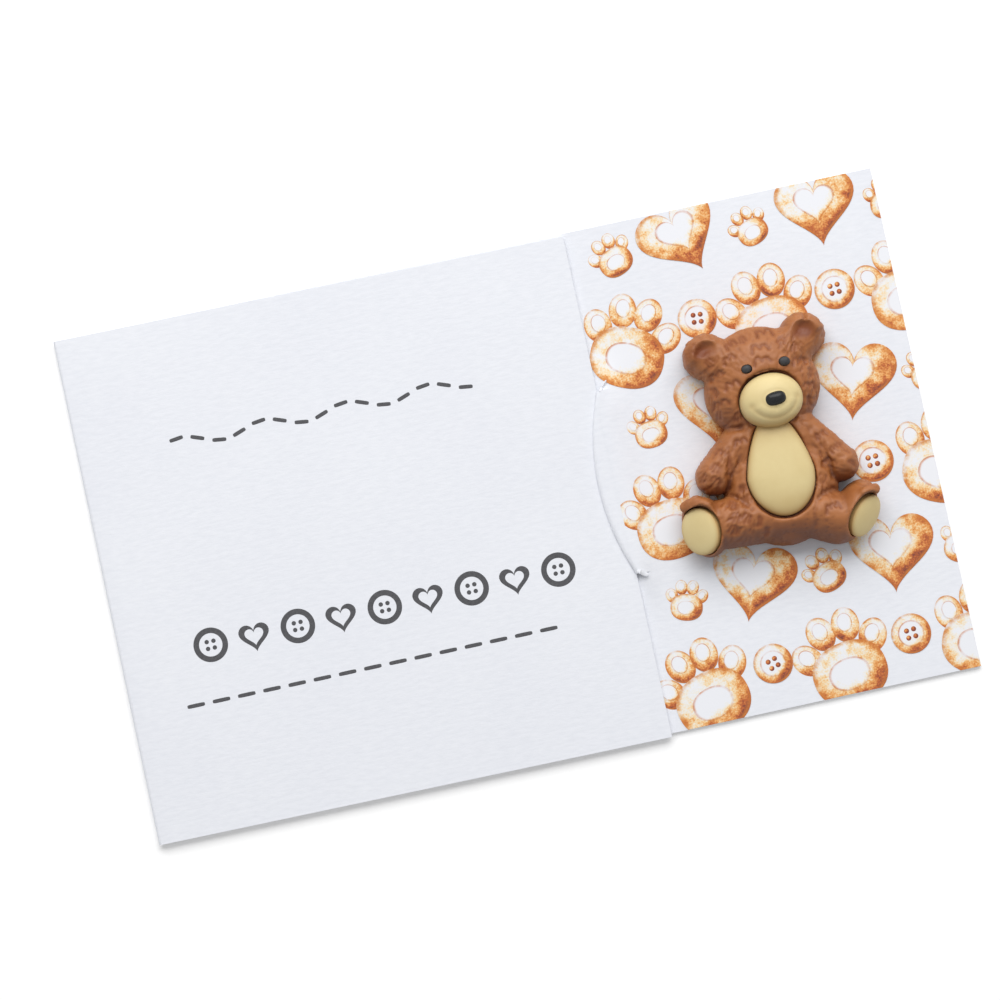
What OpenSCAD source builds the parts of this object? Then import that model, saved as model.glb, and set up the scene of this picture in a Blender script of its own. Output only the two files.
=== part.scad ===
// Card of buttons: a folded white card with a tuck tab, and a moulded bear button fixed to its back panel.
// Frame: origin at the centre of the card's back face, +X along the card, +Y across it, +Z out of the front.

/* [Card] */
// Length of the folded card
card_length = 90; // [84:1:104]
// Height of the card
card_height = 55; // [50:1:70]
// Thickness of the card stock
card_stock = 0.35; // [0.3:0.01:0.45]
// Length of the front flap, from the fold to its free edge
flap_length = 55.9; // [50:0.1:57]
// Space between the flap and the back panel
fold_gap = 0.08; // [0.06:0.01:0.2]
// How far the flap's free end sits below square
flap_drop = 0.35; // [0:0.05:0.5]

/* [Tuck tab] */
// Length of the tab along the flap's free edge
tab_chord = 19.8; // [14:0.1:24]
// How far the tab reaches over the flap
tab_depth = 2; // [1.5:0.1:3]
// How far the tab's cut runs past the flap's free edge
tab_root = 1.6; // [1.3:0.1:2]
// How much wider the tab is at its root, on each side
tab_flare = 0.15; // [0.05:0.05:0.6]
// Space between the tab and the flap
tab_clearance = 0.05; // [0.04:0.01:0.15]

/* [Button place] */
// Sideways shift of the button from the middle of the open part of the back panel
button_shift = 0; // [-1:0.1:1]
// Shift of the button along the card's height
button_lift = 0; // [-4:0.1:4]
// Radius of the adhesive spot behind the button
glue_radius = 4; // [3:0.1:5]
// Thickness of the adhesive spot
glue_thickness = 0.3; // [0.2:0.05:0.6]

/* [Bear head] */
// Half width of the head
head_half_width = 6.35; // [6:0.05:6.8]
// Half height of the head
head_half_height = 5.5; // [5.2:0.05:5.9]
// Height of the head above the button's back
head_rise = 5.6; // [5.2:0.1:6.2]
// Radius of an ear
ear_radius = 2.5; // [2.2:0.05:2.8]
// Height of an ear above the button's back
ear_rise = 4.7; // [4.2:0.1:5.2]
// Half width of the dish in an ear
dish_radius = 1.5; // [1.3:0.05:1.7]
// Half length of the dish in an ear, along its slope
dish_length = 2; // [1.8:0.05:2.2]
// Depth of the dish in an ear
dish_depth = 1.1; // [1:0.05:1.3]
// Half width of the muzzle
muzzle_half_width = 3.38; // [3.1:0.02:3.6]
// Half height of the muzzle
muzzle_half_height = 2.88; // [2.7:0.02:3]
// Height of the muzzle's dome above its rim
muzzle_dome = 1.9; // [1.5:0.1:2.3]
// Half width of the nose
nose_half_width = 1.14; // [0.9:0.02:1.3]
// Half height of the nose
nose_half_height = 0.76; // [0.6:0.02:0.9]
// Half width of an eye
eye_half_width = 0.57; // [0.45:0.01:0.7]
// Half height of an eye
eye_half_height = 0.5; // [0.4:0.01:0.6]
// Width of the smile groove
smile_width = 0.34; // [0.25:0.01:0.45]
// Depth of the smile groove
smile_depth = 0.2; // [0.1:0.02:0.3]

/* [Bear body] */
// Half width of the torso
torso_half_width = 6.1; // [5.8:0.05:6.5]
// Half height of the torso
torso_half_height = 6.7; // [6.5:0.05:7]
// Height of the torso above the button's back
torso_rise = 4.9; // [4.6:0.1:5.3]
// Height of the upright edge around the button
edge_wall = 1.1; // [0.8:0.1:1.5]
// Half width of the tummy panel
tummy_half_width = 3.62; // [3.2:0.02:3.8]
// Height of the tummy panel's dome above its rim
tummy_dome = 1; // [0.7:0.1:1.3]
// Radius of an arm at the shoulder
shoulder_radius = 1.8; // [1.6:0.05:2]
// Radius of an arm at the paw
paw_radius = 2.02; // [1.8:0.02:2.2]
// Height of an arm above the button's back
arm_rise = 4; // [3.8:0.1:4.4]
// Radius of a leg
leg_radius = 2.8; // [2.6:0.05:3]
// Height of a leg above the button's back
leg_rise = 4.6; // [4.3:0.1:5]
// Half length of a foot
foot_half_length = 3.45; // [3.3:0.05:3.6]
// Half width of a foot
foot_half_width = 2.3; // [2.1:0.05:2.4]
// Height of a foot above the button's back
foot_rise = 5; // [4.8:0.1:5.4]
// Half length of a foot pad
pad_half_length = 2.56; // [2.4:0.02:2.7]
// Half width of the left foot pad
left_pad_half_width = 2.26; // [2.1:0.02:2.4]
// Half width of the right foot pad
right_pad_half_width = 1.9; // [1.7:0.02:2]
// Height of a foot pad's dome above its rim
pad_dome = 0.45; // [0.3:0.05:0.6]
// Radius of the rolled lip over a foot pad
lip_radius = 0.64; // [0.54:0.02:0.74]
// Space between an insert and the pocket that it sits in
insert_gap = 0.12; // [0.08:0.01:0.18]

/* [Hidden] */

// Facets of a lobe and of an insert
lobe_facets = 36;
insert_facets = 40;
eye_facets = 20;
// Steps of a domed insert from its rim to its crown
dome_steps = 5;
// Reach of a cutting body past the surface that it cuts
over = 1;

// Card levels
fold_outer = card_stock + fold_gap / 2;
fold_inner = fold_gap / 2;
flap_base = card_stock + fold_gap;
flap_top = flap_base + card_stock;
tab_base = flap_top + tab_clearance;
fold_x = -card_length / 2;
seam_x = fold_x + flap_length;
tab_tip_x = seam_x - tab_depth;
tab_root_x = seam_x + tab_root;
tab_radius = (pow(tab_chord / 2, 2) + pow(tab_depth, 2)) / (2 * tab_depth);
// The tab starts to lie flat just before the flap's free edge, and bends up in a few steps
tab_lead = 0.12;
tab_steps = 8;

// Button place
button_x = (seam_x + card_length / 2) / 2 + button_shift;
button_y = button_lift;
button_z = card_stock + glue_thickness;
glue_place = [0.3, -2.5];

// Places on the button, from its own axis
head_at = [0.2, 7.75];
cheek_spread = 1.9;
cheek_drop = 1.3;
left_cheek_tuck = 0.2;
chin_at = [0.6, 4.9];
left_ear_at = [head_at[0] - head_half_width + 1.3, head_at[1] + 3.35];
right_ear_at = [head_at[0] + head_half_width - 0.85, head_at[1] + 3.5];
left_dish_offset = [-0.2, -0.15];
left_dish_turn = 10;
right_dish_offset = [-0.05, -0.3];
right_dish_turn = 0;
dish_tilt = 36;
ear_root_spread = 3.4;
ear_root_lift = 2.5;
ear_root_radius = 2.2;
muzzle_at = [0.55, 4.92];
nose_at = [0.8, 4.9];
nose_turn = 4;
smile_radius = 2.85;
smile_offset = [0.4, 0.85];
smile_rise = 1.25;
left_eye_at = [-1.36, 8.64];
right_eye_at = [2.74, 8.64];
torso_at = [0.1, -3.85];
chest_at = [0.1, 0.3];
chest_half_width = 5.5;
chest_half_height = 4.5;
lap_drop = 0.2;
shoulder_dip = 0.35;
tummy_at = [-0.06, -2.9];
tummy_below = 4.5;
tummy_above = 6.6;
left_shoulder_at = [-3.35, 1.7];
left_paw_at = [-6.75, -1.65];
right_shoulder_at = [3.5, 1.6];
right_paw_at = [6.75, -3.02];
left_hip_at = [-2.65, -6.95];
left_ankle_at = [-6.35, -6.75];
left_foot_at = [-8.85, -6.6];
left_foot_turn = 7;
right_hip_at = [2.85, -7.5];
right_ankle_at = [5.25, -8.75];
right_foot_at = [7.2, -8.15];
right_foot_slim = 0.15;
right_foot_short = 0.05;
right_foot_turn = -37;

// Levels on the button, from its back
muzzle_seat = head_rise - 1.9;
muzzle_rim = 1.2;
muzzle_crown = muzzle_seat + muzzle_rim + muzzle_dome;
nose_sink = 0.55;
nose_seat = muzzle_crown - nose_sink;
nose_rim = 0.35;
nose_dome = 0.6;
eye_seat = head_rise - 0.75;
eye_rim = 0.5;
eye_dome = 0.28;
tummy_seat = torso_rise - 2;
tummy_rim = 1.25;
pad_rim = 0.9;
// Each foot pad: centre of its seat, heading that it faces, and lean of its face from straight up
left_pad_at = [-9.15, -7.05, 2];
left_pad_heading = 184;
left_pad_lean = 38;
right_pad_at = [7.56, -8.8, 2.2];
right_pad_short = 0.14;
right_pad_heading = -41;
right_pad_lean = 46;

// Rolled lip over each foot pad: angles around the pad where it starts and ends, and its seat outside the pad
left_lip_from = -72;
left_lip_to = -128;
right_lip_from = 113;
right_lip_to = 142;
left_lip_reach = 0.55;
right_lip_reach = 0.75;
lip_steps = 5;
lip_facets = 16;

// How much the egg narrows towards its top, and how far its top leans sideways
egg_taper = 0.27;
egg_lean = 0.25;

// The tab's bend, from level with the back panel at its root to lying over the flap
function tab_bend_x(i) = tab_root_x + (seam_x + tab_lead - tab_root_x) * i / tab_steps;
function tab_bend_z(i) = tab_base * (1 - cos(180 * i / tab_steps)) / 2;

// Outline of an ellipse as points
function ellipse_points(a, b, n) = [for (i = [0 : n - 1]) [a * cos(360 * i / n), b * sin(360 * i / n)]];

// Outline of an egg: one half height above its centre and another below
function egg_points(a, up, down, n) = [
    for (i = [0 : n - 1])
        let (t = 360 * i / n, s = sin(t))
        [a * cos(t) * (1 - egg_taper * max(s, 0)) + egg_lean * max(s, 0), s > 0 ? up * s : down * s]
];

// One domed lobe of the moulding, with an upright edge at its foot
module lobe(at, a, b, rise, turn = 0) {
    translate([at[0], at[1], 0])
    rotate([0, 0, turn]) {
        linear_extrude(edge_wall) polygon(ellipse_points(a, b, lobe_facets));
        translate([0, 0, edge_wall]) scale([a, b, rise - edge_wall]) sphere(1, $fn = lobe_facets);
    }
}

// A limb: two lobes with a straight run between them
module limb(from, from_radius, to, to_radius, rise_from, rise_to) {
    hull() {
        lobe(from, from_radius, from_radius, rise_from);
        lobe(to, to_radius, to_radius, rise_to);
    }
}

// A domed insert: an outline with an upright rim and a rounded crown
module insert(points, rim, dome) {
    hull() {
        linear_extrude(rim) polygon(points);
        for (i = [1 : dome_steps])
            let (t = 90 * i / (dome_steps + 0.5))
            translate([0, 0, rim]) linear_extrude(dome * sin(t)) polygon(points * cos(t));
    }
}

// Puts its children at a foot pad's seat, with +Z along the way that the pad faces
module at_pad(at, heading, lean) {
    translate(at) rotate([0, 0, heading]) rotate([0, lean, 0]) children();
}

// Outlines of the inserts, grown by a gap for their pockets
module muzzle_outline(grow) {
    translate(muzzle_at)
    polygon(ellipse_points(muzzle_half_width + grow, muzzle_half_height + grow, insert_facets));
}

module tummy_outline(grow) {
    difference() {
        translate(tummy_at)
        polygon(egg_points(tummy_half_width + grow, tummy_above + grow, tummy_below + grow, insert_facets));
        muzzle_outline(insert_gap - grow);
    }
}

module nose_outline(grow) {
    translate(nose_at) rotate([0, 0, nose_turn])
    polygon(ellipse_points(nose_half_width + grow, nose_half_height + grow, insert_facets));
}

module eye_outline(at, grow) {
    translate(at)
    polygon(ellipse_points(eye_half_width + grow, eye_half_height + grow, eye_facets));
}

// Moves its children to the button's place on the card
module on_button() {
    translate([button_x, button_y, button_z]) children();
}

// The moulded lobes of the bear before its pockets are cut
module bear_lobes() {
    hull() {
        lobe(head_at + [0, 0.35], head_half_width - 0.75, head_half_height - 0.35, head_rise);
        for (side = [-1, 1])
            lobe(head_at + [side * cheek_spread, -cheek_drop],
                head_half_width - cheek_spread - (side < 0 ? left_cheek_tuck : 0),
                head_half_height - cheek_drop + 0.35, head_rise - 0.5);
    }
    hull() lobe(chin_at, muzzle_half_width + 0.1, muzzle_half_height - 0.1, muzzle_seat + 0.9);
    hull() lobe(left_ear_at, ear_radius, ear_radius, ear_rise);
    hull() lobe(right_ear_at, ear_radius, ear_radius, ear_rise);
    // Roots of the ears, running up onto the head
    limb(left_ear_at, 0.8 * ear_radius, head_at + [-ear_root_spread, ear_root_lift], ear_root_radius,
        ear_rise - 0.3, head_rise - 0.7);
    limb(right_ear_at, 0.8 * ear_radius, head_at + [ear_root_spread, ear_root_lift], ear_root_radius,
        ear_rise - 0.3, head_rise - 0.7);
    hull() lobe(torso_at, torso_half_width, torso_half_height, torso_rise);
    hull() lobe(chest_at, chest_half_width, chest_half_height, torso_rise - 0.2);
    limb(left_hip_at, leg_radius, right_hip_at, leg_radius, leg_rise - lap_drop, leg_rise - lap_drop);
    limb(left_shoulder_at, shoulder_radius, left_paw_at, paw_radius, arm_rise - shoulder_dip, arm_rise);
    limb(right_shoulder_at, shoulder_radius, right_paw_at, paw_radius, arm_rise - shoulder_dip, arm_rise);
    limb(left_hip_at, leg_radius, left_ankle_at, leg_radius, leg_rise, leg_rise);
    limb(right_hip_at, leg_radius, right_ankle_at, leg_radius, leg_rise, leg_rise);
    hull() lobe(left_foot_at, foot_half_width, foot_half_length, foot_rise, left_foot_turn);
    hull() lobe(right_foot_at, foot_half_width - right_foot_slim, foot_half_length - right_foot_short, foot_rise,
        right_foot_turn);
    at_pad(left_pad_at, left_pad_heading, left_pad_lean)
    foot_lip(left_pad_half_width + left_lip_reach, pad_half_length + left_lip_reach, left_lip_from, left_lip_to);
    at_pad(right_pad_at, right_pad_heading, right_pad_lean)
    foot_lip(right_pad_half_width + right_lip_reach, pad_half_length - right_pad_short + right_lip_reach,
        right_lip_from, right_lip_to);
}

// Lip of a foot, rolled over the upper end of its pad
module foot_lip(half_width, half_length, from, to) {
    function lip_point(i) = let (t = from + (to - from) * i / lip_steps)
        [half_width * cos(t), half_length * sin(t), pad_rim];
    for (i = [0 : lip_steps - 1])
        hull() {
            translate(lip_point(i)) sphere(lip_radius, $fn = lip_facets);
            translate(lip_point(i + 1)) sphere(lip_radius, $fn = lip_facets);
        }
}

// Dish of an ear, deep under its upper rim and running out towards the head
module ear_dish(at, turn) {
    translate([at[0], at[1], ear_rise])
    rotate([0, 0, turn])
    rotate([-dish_tilt, 0, 0])
    scale([dish_radius, dish_length, dish_depth]) sphere(1, $fn = lobe_facets);
}

// Pocket for a foot pad, open straight up so that the whole pad shows from the front
module pad_pocket(half_width, half_length, lean) {
    pocket = ellipse_points(half_width + insert_gap, half_length + insert_gap, insert_facets);
    open_lean = lean + 5;
    linear_extrude(pad_rim) polygon(pocket);
    hull() {
        translate([0, 0, pad_rim / 2]) linear_extrude(pad_rim / 2) polygon(pocket);
        translate([-foot_rise * sin(open_lean), 0, foot_rise * cos(open_lean)])
        linear_extrude(pad_rim / 2) polygon(pocket);
    }
}

module foot_pad(half_width, half_length) {
    insert(ellipse_points(half_width, half_length, insert_facets), pad_rim, pad_dome);
}

module card_half_moon() {
    union() {
        intersection() {
            translate([tab_tip_x + tab_radius, 0]) circle(tab_radius);
            translate([tab_tip_x - over, -card_height / 2]) square([tab_depth + over, card_height]);
        }
        polygon([
            [seam_x, -tab_chord / 2],
            [tab_root_x, -tab_chord / 2 - tab_flare],
            [tab_root_x, tab_chord / 2 + tab_flare],
            [seam_x, tab_chord / 2]
        ]);
    }
}

module card() {
    color("white")
    union() {
        // Back panel with the window that the tab was cut from
        difference() {
            translate([fold_x + fold_outer, -card_height / 2, 0])
            cube([card_length - fold_outer, card_height, card_stock]);
            translate([0, 0, -over]) linear_extrude(card_stock + 2 * over) card_half_moon();
        }
        // Fold
        translate([fold_x + fold_outer, 0, fold_outer])
        rotate([90, 0, 0])
        linear_extrude(card_height, center = true)
        difference() {
            circle(fold_outer);
            circle(fold_inner);
            translate([0, -fold_outer - over]) square(2 * (fold_outer + over));
        }
        // Front flap
        translate([fold_x + fold_outer, 0, flap_base])
        linear_extrude(card_stock)
        polygon([
            [0, -card_height / 2],
            [flap_length - fold_outer, -card_height / 2 - flap_drop],
            [flap_length - fold_outer, card_height / 2 - flap_drop],
            [0, card_height / 2]
        ]);
        // Tuck tab, rising from its root and lying over the flap
        intersection() {
            linear_extrude(tab_base + card_stock + over) card_half_moon();
            rotate([90, 0, 0])
            linear_extrude(card_height, center = true)
            polygon(concat(
                [for (i = [0 : tab_steps]) [tab_bend_x(i), card_stock + tab_bend_z(i)]],
                [[tab_tip_x - over, tab_base + card_stock], [tab_tip_x - over, tab_base]],
                [for (i = [tab_steps : -1 : 0]) [tab_bend_x(i), tab_bend_z(i)]]
            ));
        }
    }
}

module glue_dot() {
    color("ivory")
    translate([button_x + glue_place[0], button_y + glue_place[1], card_stock])
    cylinder(r = glue_radius, h = glue_thickness);
}

module bear_body() {
    color("sienna")
    on_button()
    difference() {
        intersection() {
            bear_lobes();
            translate([-2 * head_half_width - over, -3 * head_half_height, 0])
            cube([4 * head_half_width + 2 * over, 6 * head_half_height, 2 * head_rise]);
        }
        // Dishes in the ears
        ear_dish(left_ear_at + left_dish_offset, left_dish_turn);
        ear_dish(right_ear_at + right_dish_offset, right_dish_turn);
        // Pockets for the inserts
        translate([0, 0, muzzle_seat]) linear_extrude(head_rise) muzzle_outline(insert_gap);
        translate([0, 0, tummy_seat]) linear_extrude(head_rise) tummy_outline(insert_gap);
        translate([0, 0, eye_seat]) linear_extrude(head_rise) eye_outline(left_eye_at, insert_gap / 2);
        translate([0, 0, eye_seat]) linear_extrude(head_rise) eye_outline(right_eye_at, insert_gap / 2);
        at_pad(left_pad_at, left_pad_heading, left_pad_lean)
        pad_pocket(left_pad_half_width, pad_half_length, left_pad_lean);
        at_pad(right_pad_at, right_pad_heading, right_pad_lean)
        pad_pocket(right_pad_half_width, pad_half_length - right_pad_short, right_pad_lean);
    }
}

module muzzle_form(shrink) {
    translate([muzzle_at[0], muzzle_at[1], 0])
    insert(ellipse_points(muzzle_half_width - shrink, muzzle_half_height - shrink, insert_facets),
        muzzle_rim, muzzle_dome - shrink);
}

// The smile, an upright wall along an arc that rises at both ends
module smile_wall() {
    translate([muzzle_at[0] + smile_offset[0], muzzle_at[1] + smile_offset[1], 0])
    intersection() {
        difference() {
            cylinder(r = smile_radius + smile_width / 2, h = muzzle_crown, $fn = insert_facets);
            translate([0, 0, -over])
            cylinder(r = smile_radius - smile_width / 2, h = muzzle_crown + 2 * over, $fn = insert_facets);
        }
        translate([-2 * smile_radius, -2 * smile_radius - smile_rise, 0])
        cube([4 * smile_radius, 2 * smile_radius, muzzle_crown]);
    }
}

module muzzle() {
    color("khaki")
    on_button()
    translate([0, 0, muzzle_seat])
    difference() {
        muzzle_form(0);
        difference() {
            smile_wall();
            muzzle_form(smile_depth);
        }
        translate([0, 0, nose_seat - muzzle_seat]) linear_extrude(muzzle_crown) nose_outline(insert_gap / 2);
    }
}

module nose() {
    color("black")
    on_button()
    translate([nose_at[0], nose_at[1], nose_seat])
    rotate([0, 0, nose_turn])
    insert(ellipse_points(nose_half_width, nose_half_height, insert_facets), nose_rim, nose_dome);
}

module bear_eye(at) {
    on_button()
    translate([at[0], at[1], eye_seat])
    insert(ellipse_points(eye_half_width, eye_half_height, eye_facets), eye_rim, eye_dome);
}

module left_eye() {
    color("darkslategray") bear_eye(left_eye_at);
}

module right_eye() {
    color("darkslategray") bear_eye(right_eye_at);
}

module tummy_panel() {
    color("khaki")
    on_button()
    translate([0, 0, tummy_seat])
    intersection() {
        translate([tummy_at[0], tummy_at[1], 0])
        insert(egg_points(tummy_half_width, tummy_above, tummy_below, insert_facets), tummy_rim, tummy_dome);
        linear_extrude(tummy_rim + tummy_dome + over) tummy_outline(0);
    }
}

module left_foot_pad() {
    color("khaki")
    on_button() at_pad(left_pad_at, left_pad_heading, left_pad_lean)
    foot_pad(left_pad_half_width, pad_half_length);
}

module right_foot_pad() {
    color("khaki")
    on_button() at_pad(right_pad_at, right_pad_heading, right_pad_lean)
    foot_pad(right_pad_half_width, pad_half_length - right_pad_short);
}

card();
glue_dot();
bear_body();
muzzle();
nose();
left_eye();
right_eye();
tummy_panel();
left_foot_pad();
right_foot_pad();
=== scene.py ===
import math
import random

import bmesh
import bpy
import numpy as np
from mathutils import Euler, Matrix, Vector


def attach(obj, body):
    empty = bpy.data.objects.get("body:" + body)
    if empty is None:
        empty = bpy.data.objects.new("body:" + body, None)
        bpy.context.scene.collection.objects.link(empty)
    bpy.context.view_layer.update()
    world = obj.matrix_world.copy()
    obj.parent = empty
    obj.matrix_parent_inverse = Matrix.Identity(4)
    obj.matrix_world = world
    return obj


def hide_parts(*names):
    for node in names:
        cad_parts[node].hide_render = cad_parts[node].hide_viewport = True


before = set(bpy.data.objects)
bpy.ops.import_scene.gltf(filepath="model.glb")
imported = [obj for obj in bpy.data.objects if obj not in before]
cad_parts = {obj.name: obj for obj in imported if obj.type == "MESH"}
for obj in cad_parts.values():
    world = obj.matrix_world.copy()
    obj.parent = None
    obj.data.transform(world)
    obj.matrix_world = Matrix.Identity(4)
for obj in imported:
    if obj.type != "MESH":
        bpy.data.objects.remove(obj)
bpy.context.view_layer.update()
scene = bpy.context.scene
rng = random.Random(7)

# Sizes in millimetres, from the same named values as the solids
MM = 0.001
CARD_LENGTH = 90.0
CARD_HEIGHT = 55.0
CARD_STOCK = 0.35
FLAP_LENGTH = 55.9
FOLD_GAP = 0.08
FLAP_DROP = 0.35
TAB_CHORD = 19.8
TAB_DEPTH = 2.0
TAB_ROOT = 1.6
TAB_FLARE = 0.15
TAB_CLEARANCE = 0.05
FOLD_OUTER = CARD_STOCK + FOLD_GAP / 2
FLAP_TOP = 2 * CARD_STOCK + FOLD_GAP
TAB_BASE = FLAP_TOP + TAB_CLEARANCE
FOLD_X = -CARD_LENGTH / 2
SEAM_X = FOLD_X + FLAP_LENGTH
TAB_TIP_X = SEAM_X - TAB_DEPTH
TAB_ROOT_X = SEAM_X + TAB_ROOT
TAB_RADIUS = ((TAB_CHORD / 2) ** 2 + TAB_DEPTH ** 2) / (2 * TAB_DEPTH)
BUTTON_X = (SEAM_X + CARD_LENGTH / 2) / 2
BUTTON_Z = CARD_STOCK + 0.3


# Materials

NOISE_LOW = 0.3
NOISE_HIGH = 0.7


def new_material(name):
    mat = bpy.data.materials.new(name)
    mat.use_nodes = True
    tree = mat.node_tree
    return mat, tree, tree.nodes["Principled BSDF"]


def feed(tree, socket, value):
    """Links a socket to another, or sets it to a constant."""
    if isinstance(value, bpy.types.NodeSocket):
        tree.links.new(value, socket)
    elif isinstance(value, tuple):
        socket.default_value = (*value, 1)
    else:
        socket.default_value = value


def object_noise(tree, scale, detail=4.0, rough=0.55, stretch=(1, 1, 1)):
    coords = tree.nodes.new("ShaderNodeTexCoord")
    mapping = tree.nodes.new("ShaderNodeMapping")
    mapping.inputs["Scale"].default_value = stretch
    noise = tree.nodes.new("ShaderNodeTexNoise")
    noise.inputs["Scale"].default_value = scale
    noise.inputs["Detail"].default_value = detail
    noise.inputs["Roughness"].default_value = rough
    tree.links.new(coords.outputs["Object"], mapping.inputs["Vector"])
    tree.links.new(mapping.outputs["Vector"], noise.inputs["Vector"])
    return noise.outputs["Fac"]


def ramp(tree, fac, stops):
    node = tree.nodes.new("ShaderNodeValToRGB")
    elements = node.color_ramp.elements
    while len(elements) < len(stops):
        elements.new(0.5)
    for element, (place, colour) in zip(elements, stops):
        element.position = place
        element.color = (*colour, 1)
    tree.links.new(fac, node.inputs["Fac"])
    return node.outputs["Color"]


def noise_ramp(tree, noise, low, high):
    """Runs from one colour to another over the middle of a noise."""
    return ramp(tree, noise, [(NOISE_LOW, low), (NOISE_HIGH, high)])


def mix_colour(tree, fac, a, b, blend="MIX"):
    node = tree.nodes.new("ShaderNodeMix")
    node.data_type = "RGBA"
    node.blend_type = blend
    feed(tree, node.inputs[0], fac)
    feed(tree, node.inputs[6], a)
    feed(tree, node.inputs[7], b)
    return node.outputs[2]


def math_node(tree, operation, a, b=0.0, clamp=False):
    node = tree.nodes.new("ShaderNodeMath")
    node.operation = operation
    node.use_clamp = clamp
    feed(tree, node.inputs[0], a)
    feed(tree, node.inputs[1], b)
    return node.outputs[0]


def attribute(tree, name):
    node = tree.nodes.new("ShaderNodeAttribute")
    node.attribute_name = name
    return node.outputs["Fac"]


def tint(tree, colour, name, weight, other):
    """Mixes in another colour where a painted value is high."""
    amount = math_node(tree, "MULTIPLY", attribute(tree, name), weight, True)
    return mix_colour(tree, amount, colour, other)


def paint(tree, bsdf, colour, roughness, shine=0.5):
    tree.links.new(colour, bsdf.inputs["Base Color"])
    feed(tree, bsdf.inputs["Roughness"], roughness)
    bsdf.inputs["Specular IOR Level"].default_value = shine


def bump(tree, bsdf, height, strength, distance):
    node = tree.nodes.new("ShaderNodeBump")
    node.inputs["Strength"].default_value = strength
    node.inputs["Distance"].default_value = distance
    tree.links.new(height, node.inputs["Height"])
    tree.links.new(node.outputs["Normal"], bsdf.inputs["Normal"])


def card_material():
    mat, tree, bsdf = new_material("white_card")
    fibre = object_noise(tree, 2600, 3, 0.6, (0.3, 1, 1))
    cloud = object_noise(tree, 60, 3, 0.5)
    tone = noise_ramp(tree, cloud, (0.815, 0.83, 0.88), (0.835, 0.85, 0.895))
    fine = ramp(tree, fibre, [(0.3, (0.93, 0.935, 0.945)), (0.65, (1, 1, 1))])
    paint(tree, bsdf, mix_colour(tree, 0.7, tone, fine, "MULTIPLY"), 0.75, 0.25)
    bump(tree, bsdf, fibre, 0.35, 0.00005)
    return mat


def brown_material():
    """Satin brown plastic, with painted shade in hollows, on walls, on faces turned down and lower on the
    legs, a painted highlight on ridges, darker along the fur marks, and painted shade in the ears' dishes.
    """
    mat, tree, bsdf = new_material("brown_moulding")
    patches = object_noise(tree, 420, 4, 0.6)
    fine = object_noise(tree, 2600, 3, 0.6)
    colour = ramp(tree, patches, [(0.3, (0.307, 0.103, 0.027)), (0.55, (0.352, 0.122, 0.033)),
                                  (0.75, (0.392, 0.142, 0.043))])
    # Painted shade: dark purple-brown where the body is hollow, on its walls, on faces turned down and lower
    # on the legs
    colour = tint(tree, colour, "hollow_shade", 0.85, (0.112, 0.035, 0.018))
    # Darker along the fur marks, and painted shade in the upper parts of the ears' dishes
    colour = tint(tree, colour, "mark", 0.6, (0.17, 0.036, 0.003))
    # Painted highlight: lighter on ridges that face up
    colour = tint(tree, colour, "ridge_highlight", 0.5, (0.42, 0.175, 0.07))
    paint(tree, bsdf, colour, noise_ramp(tree, fine, (0.42,) * 3, (0.58,) * 3), 0.45)
    bump(tree, bsdf, fine, 0.5, 0.00004)
    return mat


def cream_material():
    mat, tree, bsdf = new_material("cream_moulding")
    cloud = object_noise(tree, 300, 4, 0.55)
    speck = object_noise(tree, 3000, 3, 0.6)
    colour = noise_ramp(tree, cloud, (0.68, 0.54, 0.265), (0.73, 0.6, 0.31))
    # Painted shade: darker towards the inserts' rims, in the muzzle's smile and towards its chin, and on the
    # tummy under the muzzle and towards its foot
    colour = tint(tree, colour, "hollow_shade", 0.75, (0.44, 0.245, 0.07))
    paint(tree, bsdf, colour, noise_ramp(tree, speck, (0.4,) * 3, (0.55,) * 3), 0.3)
    bump(tree, bsdf, cloud, 0.12, 0.0001)
    return mat


def dark_material(name, dark, light, rough_low, rough_high, shine):
    mat, tree, bsdf = new_material(name)
    speck = object_noise(tree, 1800, 4, 0.6)
    colour = ramp(tree, speck, [(0.35, dark), (0.7, light)])
    paint(tree, bsdf, colour, noise_ramp(tree, speck, (rough_low,) * 3, (rough_high,) * 3), shine)
    bump(tree, bsdf, speck, 0.2, 0.00003)
    return mat


def glue_material():
    mat, tree, bsdf = new_material("dull_adhesive")
    cloud = object_noise(tree, 700, 3, 0.5)
    paint(tree, bsdf, noise_ramp(tree, cloud, (0.66, 0.62, 0.5), (0.75, 0.71, 0.6)), 0.5)
    bump(tree, bsdf, cloud, 0.3, 0.0001)
    return mat


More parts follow.
